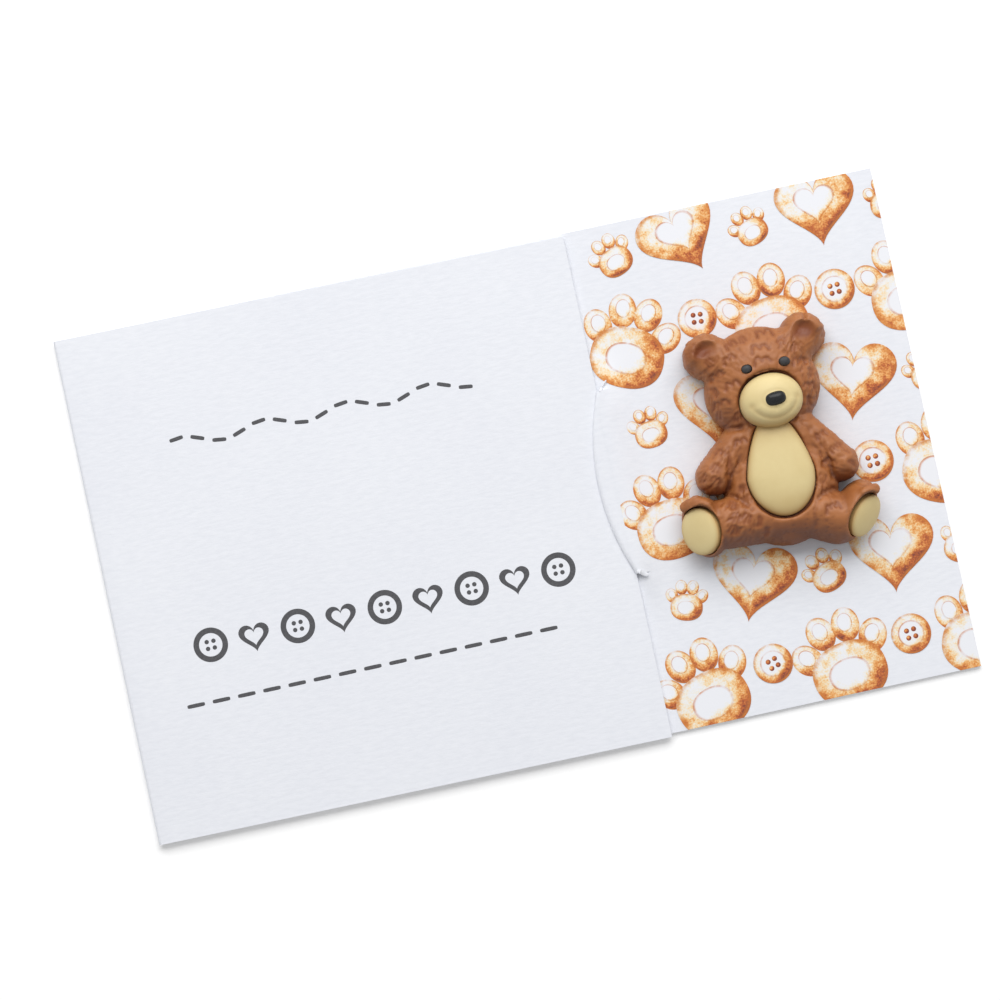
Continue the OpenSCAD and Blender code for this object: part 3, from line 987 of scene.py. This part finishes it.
ARM_FROM_X = 4.2
ARM_LOW = -4.2
ARM_HIGH = 2.6
ARM_FADE = 0.6
ARM_KNOBS = 0.8
LEAST_KNOBS = 0.25
ROLL_WIDTH = 0.3
ROLL_DEPTH = 0.4
ROLL_STEPS = 160


def knobbly(xy):
    """Where the outline is uneven: most on the ears, less on the arms and least elsewhere."""
    arms = ease((np.abs(xy[:, 0]) - ARM_FROM_X) / ARM_FADE)
    arms = arms * ease((xy[:, 1] - ARM_LOW) / ARM_FADE) * ease((ARM_HIGH - xy[:, 1]) / ARM_FADE)
    return np.maximum(np.maximum(near_ears(xy), ARM_KNOBS * arms), LEAST_KNOBS)


def seam_roll(xy):
    """How near each place is to the outline of the muzzle or of the tummy, from 0 to 1."""
    near = np.full(len(xy), np.inf)
    for name, at in (("muzzle", MUZZLE_AT), ("tummy_panel", TUMMY_AT)):
        outline = INSERTS[name][0]
        for i in range(ROLL_STEPS):
            x, y = outline(2 * math.pi * i / ROLL_STEPS)
            near = np.minimum(near, np.hypot(xy[:, 0] - at[0] - x, xy[:, 1] - at[1] - y))
    return np.exp(-(near / ROLL_WIDTH) ** 2)


WELD = 0.0005
VOXEL = 0.14
SEAT_FILL = 0.03
FILLED_SEATS = ("muzzle", "tummy_panel", "left_eye", "right_eye")
# Seats cut back in, a little wider than the inserts, so that a dark line shows around each
SEAT_CUTS = [
    ("muzzle", 0.09, 4.0), ("tummy_panel", 0.09, 4.0), ("left_foot_pad", 0.06, 2.2),
    ("right_foot_pad", 0.06, 2.2), ("left_eye", 0.05, 2.0), ("right_eye", 0.05, 2.0),
]
BODY_ROUNDS = 7
FOOT_ROUNDS = 420
DISH_ROUNDS = 45
UPPER_FROM = 1.5
WALL_FROM = 0.3
BODY_SHARP = 48
# Width, depth and rise of the sides of each kind of mark
TUFT_MARK = (0.19, 0.12, 0.03)
FINE_MARK = (0.14, 0.045, 0.012)
COMB_MARK = (0.13, 0.06, 0.025)
CREASE_MARK = (0.26, 0.12, 0.04)
PIT_MARK = (0.1, 0.05, 0.0)
DISH_MARK = (0.5, 0.2, 0.0)
DISH_CALM = 0.8
KNOB_DEPTH = 0.09
SWAY_DEPTH = 0.035
TUFT_TINT_WIDTH = 0.27
COMB_TINT_WIDTH = 0.15
SOFT_ROUNDS = 10
WIDE_ROUNDS = 60
LEGS_FROM = -4.0
LEG_SHADE = 0.12


def body_xy(co):
    return co[:, :2] - (BUTTON_X, 0.0)


def facing_up(no):
    """1 where the surface looks up, and 0 on walls."""
    return np.clip((no[:, 2] - 0.05) / 0.4, 0, 1)


def pressed(xy, strokes, mark):
    """Rise of the surface at each place where strokes press into it."""
    width, depth, rise = mark
    press, swell = stroke_depth(xy, strokes, width)
    return rise * swell * (1 - press) - depth * press


def set_points(mesh, co):
    mesh.vertices.foreach_set("co", co.ravel())
    mesh.update()


def body_blank():
    """An even mesh of the solid body, with seats filled so that it blends smoothly across them."""
    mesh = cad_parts["bear_body"].data.copy()
    mesh.materials.clear()
    mesh.transform(Matrix.Scale(1 / MM, 4))
    body = bpy.data.objects.new("bear_moulding", mesh)
    scene.collection.objects.link(body)
    edit_mesh(mesh, lambda work: bmesh.ops.remove_doubles(work, verts=work.verts, dist=WELD))
    apply_boolean(body, [cutter(name, SEAT_FILL, INSERTS[name][1]) for name in FILLED_SEATS], "UNION")
    gap = strip_cutter("paw_gap", PAW_GAP, BUTTON_Z - GAP_BELOW, BUTTON_Z + GAP_ABOVE)
    apply_boolean(body, [gap], "DIFFERENCE")
    mod = body.modifiers.new("r", "REMESH")
    mod.mode = "VOXEL"
    mod.voxel_size = VOXEL
    mod.adaptivity = 0.0
    bake_modifiers(body)
    return body


def smooth_body(mesh):
    """Rounds the whole body a little, and the ears' dishes and lower rims more."""
    co, _, edges = vertex_arrays(mesh)
    co = relax(co, edges, BODY_ROUNDS)
    xy = body_xy(co)
    foot = np.maximum(ear_foot(xy, LEFT_EAR, LEFT_FOOT_HEADING), ear_foot(xy, RIGHT_EAR, RIGHT_FOOT_HEADING))
    co = relax(co, edges, FOOT_ROUNDS, foot * (co[:, 2] > BUTTON_Z + UPPER_FROM))
    co = relax(co, edges, DISH_ROUNDS, ease(3 * ear_dishes(xy)) * (co[:, 2] > BUTTON_Z + UPPER_FROM))
    set_points(mesh, co)


def press_marks(mesh):
    """Presses marks, creases and seams into the body, and makes its outline uneven."""
    co, no, _ = vertex_arrays(mesh)
    xy = body_xy(co)
    facing = facing_up(no)
    calm = 1 - DISH_CALM * ear_dishes(xy)
    fine, fine_swell = stroke_depth(xy, FINE_STROKES, FINE_MARK[0])
    marks = pressed(xy, TUFT_STROKES, TUFT_MARK) - FINE_MARK[1] * fine + FINE_MARK[2] * fine_swell
    marks = marks + pressed(xy, COMB_STROKES, COMB_MARK)
    depth = marks * facing * calm + pressed(xy, CREASE_STROKES, CREASE_MARK) * facing
    edge = 1 - np.clip((no[:, 2] - 0.1) / 0.6, 0, 1)
    above = co[:, 2] > BUTTON_Z + WALL_FROM
    knobs = KNOB_DEPTH * edge * knobbly(xy) * waves(xy, 4.4, 1.7)
    depth = depth + (SWAY_DEPTH * waves(xy, 1.9, 0.4) + knobs) * above * calm
    depth = depth + (pressed(xy, PITS, PIT_MARK) + pressed(xy, DISH_STROKES, DISH_MARK)) * facing
    depth = depth - NOTCH_DEPTH * ear_notch(xy, co[:, 2]) - ROLL_DEPTH * seam_roll(xy) * facing
    co = co + no * depth[:, None]
    co[:, 2] = np.maximum(co[:, 2], BUTTON_Z)
    set_points(mesh, co)


def paint_body(mesh):
    """Paints shade where the body is hollow, on its walls, on faces turned down and lower on the legs, a
    highlight where it stands out, and a darker tint where it is marked.
    """
    co, no, edges = vertex_arrays(mesh)
    xy = body_xy(co)
    facing = facing_up(no)
    tuft = stroke_depth(xy, TUFT_STROKES, TUFT_TINT_WIDTH)[0]
    fine = stroke_depth(xy, FINE_STROKES, FINE_MARK[0])[0]
    comb = stroke_depth(xy, COMB_STROKES, COMB_TINT_WIDTH)[0]
    dish_shade = np.maximum(ear_shade(xy, LEFT_SHADE), ear_shade(xy, RIGHT_SHADE))
    # Painted shade in hollows, from how far each place lies below its neighbours
    hollow_shade = np.einsum("ij,ij->i", relax(co, edges, SOFT_ROUNDS) - co, no)
    hollow_wide = np.einsum("ij,ij->i", relax(co, edges, WIDE_ROUNDS) - co, no)
    # Painted shade on walls and on faces turned down, and darker lower on the legs
    side = np.clip(0.25 - no[:, 2], 0, 1)
    low = np.clip(-no[:, 1] - 0.05, 0, 1)
    legs = LEG_SHADE * ease((LEGS_FROM - xy[:, 1]) / 2.0)
    shade = np.clip(2.5 * hollow_shade + 1.5 * hollow_wide + 0.2 * side + 1.1 * low + legs, 0, 1)
    set_attribute(mesh, "hollow_shade", shade * (1 - 0.7 * near_ears(xy)))
    # Painted highlight where the body stands out and faces up
    set_attribute(mesh, "ridge_highlight", np.clip(-6.0 * hollow_shade - 0.5 * hollow_wide, 0, 1) * facing)
    # The mark value also holds the painted shade in the ears' dishes
    set_attribute(mesh, "mark", np.maximum(np.maximum(tuft, 0.35 * fine), 0.6 * comb) * facing + 1.7 * dish_shade)


def make_body():
    body = body_blank()
    smooth_body(body.data)
    press_marks(body.data)
    apply_boolean(body, [cutter(*cut) for cut in SEAT_CUTS], "DIFFERENCE")
    mesh = body.data
    paint_body(mesh)
    mesh.transform(Matrix.Scale(MM, 4))
    mesh.materials.clear()
    mesh.materials.append(BROWN)
    mesh.polygons.foreach_set("use_smooth", [True] * len(mesh.polygons))
    mesh.polygons.foreach_set("material_index", [0] * len(mesh.polygons))
    mesh.update()
    sharpen(body, BODY_SHARP)
    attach(body, "root")
    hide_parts("bear_body")


make_body()


# Inserts: muzzle, tummy, foot pads, eyes and nose

# Painted shade towards each insert's rim: where it starts and how fast it grows
RIM_SHADE_FROM = 0.72
RIM_SHADE_POWER = 3
INSERT_SHARP = 60


def insert_piece(name, node, material, shape=None, wash=0.5):
    """One insert, with painted shade darker towards its rim, and pressed by a shape function where it has
    one, which paints shade too.
    """
    outline, rim, dome, place = INSERTS[node]
    loops, crown = dome_points(outline, rim, dome)
    points, faces = dome_faces(loops, crown)
    reach = math.hypot(*loops[0][0][:2])
    # The wash is painted shade, darker towards the rim
    hollow_shade = []
    for loop in loops:
        k = math.hypot(*loop[0][:2]) / reach
        hollow_shade += [wash * max(0.0, (k - RIM_SHADE_FROM) / (1 - RIM_SHADE_FROM)) ** RIM_SHADE_POWER] * len(loop)
    hollow_shade += [0.0, wash]
    if shape:
        shaped = [shape(p) for p in points]
        points = [s[0] for s in shaped]
        hollow_shade = [min(1.0, h + s[1]) for h, s in zip(hollow_shade, shaped)]
    piece = mesh_object(name, to_card(points, place), faces, material)
    set_attribute(piece.data, "hollow_shade", hollow_shade)
    sharpen(piece, INSERT_SHARP)
    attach(piece, "root")
    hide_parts(node)


SMILE_RADIUS = 2.67
SMILE_OFFSET = (0.12, 0.64)
SMILE_ENDS = (-1.17, 1.25)
SMILE_FADE = 0.3
SMILE_WIDTH = 0.2
DIMPLE_WIDTH = 0.34
LINE_TOP = -0.6
LINE_FOOT = -1.5
LINE_SHIFT = 0.1
LINE_WIDTH = 0.16
LINE_WEIGHT = 0.35
SEAT_RING = 1.2
SEAT_WIDTH = 0.18
CHEEK_INSIDE = 0.55
CHEEK_WIDTH = 0.4
CHEEK_RISE = 0.06
CHIN_SHADE = 0.4
# Depth and shade of the smile, its dimples, the line under the nose and the ring round the nose
SMILE_DEPTHS = (0.11, 0.1, 0.14, 0.05)
SMILE_SHADES = (0.25, 0.3, 0.2, 0.12)


def bell(away, width):
    return math.exp(-(away / width) ** 2)


def muzzle_shape(p):
    """Presses the smile and the line under the nose into the muzzle's dome, and paints shade in them and
    towards the chin.
    """
    x, y, z = p
    if z < MUZZLE_RIM * 0.6:
        return p, 0.0
    dx = x - SMILE_OFFSET[0]
    dy = y - SMILE_OFFSET[1]
    along = math.atan2(dx, -dy)
    fade = smoothstep((along - SMILE_ENDS[0]) / SMILE_FADE) * smoothstep((SMILE_ENDS[1] - along) / SMILE_FADE)
    off = math.hypot(dx, dy) - SMILE_RADIUS
    groove = bell(off, SMILE_WIDTH) * fade
    dimple = 0.0
    for end in SMILE_ENDS:
        away = math.hypot(dx - SMILE_RADIUS * math.sin(end), dy + SMILE_RADIUS * math.cos(end))
        dimple = max(dimple, bell(away, DIMPLE_WIDTH))
    nose_x = NOSE_AT[0] - MUZZLE_AT[0]
    nose_y = NOSE_AT[1] - MUZZLE_AT[1]
    below = smoothstep((LINE_TOP - y) / 0.3) * smoothstep((y - LINE_FOOT) / 0.4)
    line = LINE_WEIGHT * bell(x - nose_x + LINE_SHIFT, LINE_WIDTH) * below
    around = math.hypot((x - nose_x) / NOSE_HALF[0], (y - nose_y) / NOSE_HALF[1])
    forms = (groove, dimple, line, bell(around - SEAT_RING, SEAT_WIDTH))
    low = sum(a * b for a, b in zip(SMILE_DEPTHS, forms))
    shade = sum(a * b for a, b in zip(SMILE_SHADES, forms))
    cheek = CHEEK_RISE * bell(off + CHEEK_INSIDE, CHEEK_WIDTH) * fade
    return (x, y, z - low + cheek), shade + CHIN_SHADE * smoothstep((-y - 1.5) / 1.2)


def tummy_shape(p):
    """Shades the tummy under the muzzle and towards its foot."""
    x, y, z = p
    dx = (x + TUMMY_AT[0] - MUZZLE_AT[0]) / MUZZLE_HALF[0]
    dy = (y + TUMMY_AT[1] - MUZZLE_AT[1]) / MUZZLE_HALF[1]
    near = 0.6 * math.exp(-max(0.0, math.hypot(dx, dy) - 1) / 0.45)
    return p, near + 0.5 * smoothstep((-y - 1.4) / 3.2)


def make_inserts():
    insert_piece("muzzle_dome", "muzzle", CREAM, muzzle_shape)
    insert_piece("tummy_dome", "tummy_panel", CREAM, tummy_shape, 0.8)
    insert_piece("left_pad", "left_foot_pad", CREAM, None, 0.9)
    insert_piece("right_pad", "right_foot_pad", CREAM, None, 0.9)
    insert_piece("left_bead", "left_eye", SLATE)
    insert_piece("right_bead", "right_eye", SLATE)
    insert_piece("nose_bean", "nose", BLACK)


make_inserts()
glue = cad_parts["glue_dot"]
glue.data.materials.clear()
glue.data.materials.append(GLUE)


# Print on the back panel: generic paw marks, hearts and sewing buttons in watercolour tones

PRINT_LEFT = 10.75
PRINT_LIFT = 0.006
PRINT_INSET = 0.01


def panel_top(x, y):
    if x < TAB_ROOT_X and abs(y) < ROOT_HALF:
        return tab_underside(x, y) + CARD_STOCK
    return panel_underside(x, y) + CARD_STOCK


class Flat:
    """Flat printed shapes, each a fan of rings whose edge value rises to 1 at the outline."""

    def __init__(self):
        self.points = []
        self.faces = []
        self.edge = []
        self.side = []
        self.tone = []

    def shape(self, outline, at, turn, tone, layer, rings=7, around=48, inner=0.0, shade=(0.6, -0.8)):
        start = len(self.points)
        loop = [spin(*outline(2 * math.pi * i / around), turn) for i in range(around)]
        for r in range(rings + 1):
            k = inner + (1 - inner) * r / rings
            for x, y in loop:
                self.points.append((at[0] + k * x, at[1] + k * y, PRINT_LIFT * (1 + layer)))
                self.edge.append(k)
                self.side.append(k * (shade[0] * x + shade[1] * y) / math.hypot(x, y))
                self.tone.append(tone)
        for r in range(rings):
            self.faces += band(start + r * around, start + (r + 1) * around, around)

    def build(self, name, material, left, right, surface):
        """Trims the shapes to a run of the card's length and lays them on its surface."""
        piece = mesh_object(name, self.points, self.faces, material)
        mesh = piece.data
        for key, values in (("edge", self.edge), ("side", self.side), ("tone", self.tone)):
            set_attribute(mesh, key, values)
        top = (CARD_HEIGHT / 2 - PRINT_INSET) * MM

        def trim(work):
            for place, away in (((left * MM, 0, 0), (-1, 0, 0)), ((right * MM, 0, 0), (1, 0, 0)),
                                ((0, top, 0), (0, 1, 0)), ((0, -top, 0), (0, -1, 0))):
                parts = work.verts[:] + work.edges[:] + work.faces[:]
                bmesh.ops.bisect_plane(work, geom=parts, plane_co=place, plane_no=away, clear_outer=True)
            for v in work.verts:
                v.co.z += surface(v.co.x / MM, v.co.y / MM) * MM

        edit_mesh(mesh, trim)
        mesh.update()
        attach(piece, "root")


def heart(size):
    def outline(angle):
        t = angle + math.pi / 2
        x = 16 * math.sin(t) ** 3
        y = 13 * math.cos(t) - 5 * math.cos(2 * t) - 2 * math.cos(3 * t) - math.cos(4 * t)
        return size * x / 17, size * y / 17
    return outline


FUR_TONE = 0.16
RIM_TONE = 0.12
PALE_TONE = -0.3
HOLE_TONE = 0.6
# Place and lean of each toe, and half sizes of toes, palm and their pads, for a paw of size 1
TOES = ((-0.74, 0.2, 32), (0.74, 0.2, -32), (-0.28, 0.62, 10), (0.28, 0.62, -10))
TOE = (0.3, 0.37)
TOE_PAD = (0.16, 0.2)
PALM = (0.8, 0.66, 2.3)
PALM_PAD = (0.45, 0.34, 2.2)


def paw(flat, x, y, size, turn):
    """A plump paw: four toes and a palm, each with a pale pad."""
    def part(half, p, lean, tone, layer, rings, around, **more):
        outline = blob(half[0] * size, half[1] * size, *half[2:])
        flat.shape(outline, placed(p, (x, y), size, turn), turn + lean, tone, layer, rings, around, **more)

    for layer, (px, py, lean) in enumerate(TOES):
        inward = (-0.45 * px / TOES[1][0], -0.9)
        part(TOE, (px, py), lean, RIM_TONE, layer, 6, 36, shade=inward)
        part(TOE_PAD, (px, py + 0.05), lean, PALE_TONE, 4, 5, 28)
    part(PALM, (0, -0.36), 0, FUR_TONE, 5, 9, 64)
    part(PALM_PAD, (-0.02, -0.38), 0, PALE_TONE, 6, 7, 48)


def four_holes(flat, at, turn, reach, radius, tone, layer, rings):
    for i in range(4):
        angle = math.radians(turn + 45 + 90 * i)
        hole = (at[0] + reach * math.cos(angle), at[1] + reach * math.sin(angle))
        flat.shape(blob(radius, radius), hole, 0, tone, layer, rings, 20)


def sewing_button(flat, x, y, size, turn):
    flat.shape(blob(size, size), (x, y), turn, RIM_TONE, 7, 8, 56)
    flat.shape(blob(0.66 * size, 0.66 * size), (x, y), turn, PALE_TONE, 8, 7, 48)
    four_holes(flat, (x, y), turn, 0.26 * size, 0.13 * size, HOLE_TONE, 9, 2)


def heart_mark(flat, x, y, size, turn):
    flat.shape(heart(size), (x, y), turn, FUR_TONE, 7, 9, 64)
    flat.shape(heart(0.52 * size), (x - 0.02 * size, y + 0.04 * size), turn, PALE_TONE, 8, 7, 48)


PRINT_COLUMN = 15.2
PRINT_ROW = 9.5
PRINT_START = (15.6, -23.4)
PRINT_TURN = 24
PRINT_REACH = (PRINT_LEFT - 2.5, 48.5)
COLUMN_RISE = 0.9
# Bare place under the button
BARE_AT = (BUTTON_X + 0.3, -2.5)
BARE_RADIUS = 5.0
LARGE_PAWS = (4.8, 5.2)
HEARTS = (4.6, 5.0)
BUTTONS = (2.1, 2.3)
SMALL_PAWS = (2.1, 2.4)


def make_print():
    flat = Flat()
    for row in range(6):
        for col in range(-1, 6):
            x = PRINT_START[0] + PRINT_COLUMN / 2 * col
            y = PRINT_START[1] + PRINT_ROW * row + (COLUMN_RISE if col % 2 else 0.0)
            turn = rng.uniform(-PRINT_TURN, PRINT_TURN)
            if not PRINT_REACH[0] < x < PRINT_REACH[1]:
                continue
            if math.hypot(x - BARE_AT[0], y - BARE_AT[1]) < BARE_RADIUS:
                continue
            large = (row + col) % 2 == 0
            if row % 2 == 0:
                draw, sizes = (paw, LARGE_PAWS) if large else (sewing_button, BUTTONS)
            else:
                draw, sizes = (heart_mark, HEARTS) if large else (paw, SMALL_PAWS)
            draw(flat, x, y, rng.uniform(*sizes), turn)
    flat.build("panel_print", PRINT, PRINT_LEFT, CARD_LENGTH / 2 - PRINT_INSET, panel_top)


make_print()


# Torn fibres at the ends of the tab's slit

SLIVER_THICK = 0.07
SLIVERS = [
    ([(11.0, -9.72), (11.3, -9.88), (11.65, -10.12), (11.95, -10.32), (12.1, -10.42)], 0.2, 0.28),
    ([(11.2, 9.95), (11.45, 10.25), (11.75, 10.6), (12.0, 10.85), (12.15, 11.0)], 0.11, 0.12),
]


def make_slivers():
    points = []
    faces = []
    for path, half_width, lift in SLIVERS:
        start = len(points)
        for i, (x, y) in enumerate(path):
            run = path_run(path, i)
            t = i / (len(path) - 1)
            half = half_width * (0.25 + math.sin(math.pi * (0.15 + 0.75 * t)))
            z = panel_top(x, y) + 0.02 + lift * math.sin(math.pi * 0.7 * t)
            for side, rise in ((-1, 0.0), (0, SLIVER_THICK), (1, 0.0), (0, -0.01)):
                points.append((x - side * half * run.y, y + side * half * run.x, z + rise))
        for i in range(len(path) - 1):
            a = start + 4 * i
            for k in range(4):
                j = (k + 1) % 4
                faces.append((a + k, a + 4 + k, a + 4 + j, a + j))
        last = len(points) - 4
        faces.append((start, start + 1, start + 2, start + 3))
        faces.append((last + 3, last + 2, last + 1, last))
    piece = mesh_object("torn_fibres", points, faces, CARD)
    edit_mesh(piece.data, lambda work: bmesh.ops.recalc_face_normals(work, faces=work.faces))
    sharpen(piece, CARD_EDGE)
    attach(piece, "root")


make_slivers()


# Marks on the flap: running stitches and a row of small buttons and hearts, in grey ink

STITCH_THICK = 0.42
STITCH_POWER = 5.0
WAVE = 2 * math.pi / 9.0
# Start, end, height, dash, gap and swing of each row of stitches
STITCH_ROWS = [(-35.0, -1.0, 14.0, 1.5, 0.75, 0.55), (-39.0, 3.7, -13.8, 1.9, 0.85, 0.0)]
MARK_COUNT = 9
MARK_STEP = 4.75
MARK_START = (-35.2, -7.8)
RING_OUTER = 1.85
RING_INNER = 1.25
HOLE_REACH = 0.52
HOLE_RADIUS = 0.24
HEART_SIZE = 1.75
HEART_INNER = 0.62


def stitch_row(flat, start, end, y, dash, gap, swing):
    """A row of dashes along a line or a gentle wave."""
    x = start
    while x + dash <= end:
        middle = x + dash / 2
        slope = math.degrees(math.atan(swing * WAVE * math.cos(WAVE * middle)))
        at = (middle, y + swing * math.sin(WAVE * middle))
        flat.shape(blob(dash / 2, STITCH_THICK / 2, STITCH_POWER), at, slope, 0.0, 0, 1, 28)
        x += dash + gap


def make_flap_marks():
    flat = Flat()
    for row in STITCH_ROWS:
        stitch_row(flat, *row)
    for i in range(MARK_COUNT):
        at = (MARK_START[0] + MARK_STEP * i, MARK_START[1])
        if i % 2 == 0:
            flat.shape(blob(RING_OUTER, RING_OUTER), at, 0, 0.0, 0, 1, 48, RING_INNER / RING_OUTER)
            four_holes(flat, at, 0, HOLE_REACH, HOLE_RADIUS, 0.0, 0, 1)
        else:
            flat.shape(heart(HEART_SIZE), at, 0, 0.0, 0, 1, 48, HEART_INNER)
    flat.build("flap_marks", INK, FOLD_X, SEAM_X, lambda x, y: FLAP_TOP)


make_flap_marks()


# Floor and light

FLOOR_GLOW = 0.14
FLOOR_REACH = 3000.0
FLOOR_DROP = 0.1


def seen_directly(tree):
    """1 for rays from the camera, and for those seen in gloss or through glass."""
    path = tree.nodes.new("ShaderNodeLightPath")
    seen = math_node(tree, "MAXIMUM", path.outputs["Is Camera Ray"], path.outputs["Is Glossy Ray"])
    return math_node(tree, "MAXIMUM", seen, path.outputs["Is Transmission Ray"])


def make_stage():
    mat, tree, bsdf = new_material("pale_floor")
    feed(tree, bsdf.inputs["Base Color"], (0.95, 0.95, 0.95))
    feed(tree, bsdf.inputs["Roughness"], 0.9)
    feed(tree, bsdf.inputs["Specular IOR Level"], 0.1)
    feed(tree, bsdf.inputs["Emission Color"], (1, 1, 1))
    glow = math_node(tree, "MULTIPLY", seen_directly(tree), FLOOR_GLOW)
    feed(tree, bsdf.inputs["Emission Strength"], glow)
    square = ((-1, -1), (1, -1), (1, 1), (-1, 1))
    corners = [(x * FLOOR_REACH, y * FLOOR_REACH, -FLOOR_DROP) for x, y in square]
    floor = mesh_object("floor", corners, [(0, 1, 2, 3)], mat)


WORLD_LEVEL = 0.39
KEY_PLACE = (0.06, 0.47, 0.47)
KEY_SIZE = (1.0, 0.5)
KEY_POWER = 5.7


def make_light():
    scene.world = bpy.data.worlds.new("studio")
    scene.world.use_nodes = True
    tree = scene.world.node_tree
    back = tree.nodes["Background"]
    feed(tree, back.inputs["Color"], (1, 1, 1))
    level = math_node(tree, "MULTIPLY", seen_directly(tree), 1 - WORLD_LEVEL)
    feed(tree, back.inputs["Strength"], math_node(tree, "ADD", level, WORLD_LEVEL))
    data = bpy.data.lights.new("key", "AREA")
    data.shape = "RECTANGLE"
    data.size, data.size_y = KEY_SIZE
    data.energy = KEY_POWER
    light = bpy.data.objects.new("key", data)
    light.location = KEY_PLACE
    light.rotation_euler = (-Vector(KEY_PLACE)).to_track_quat("-Z", "Y").to_euler()
    scene.collection.objects.link(light)
    scene.view_settings.view_transform = "Standard"


make_stage()
make_light()
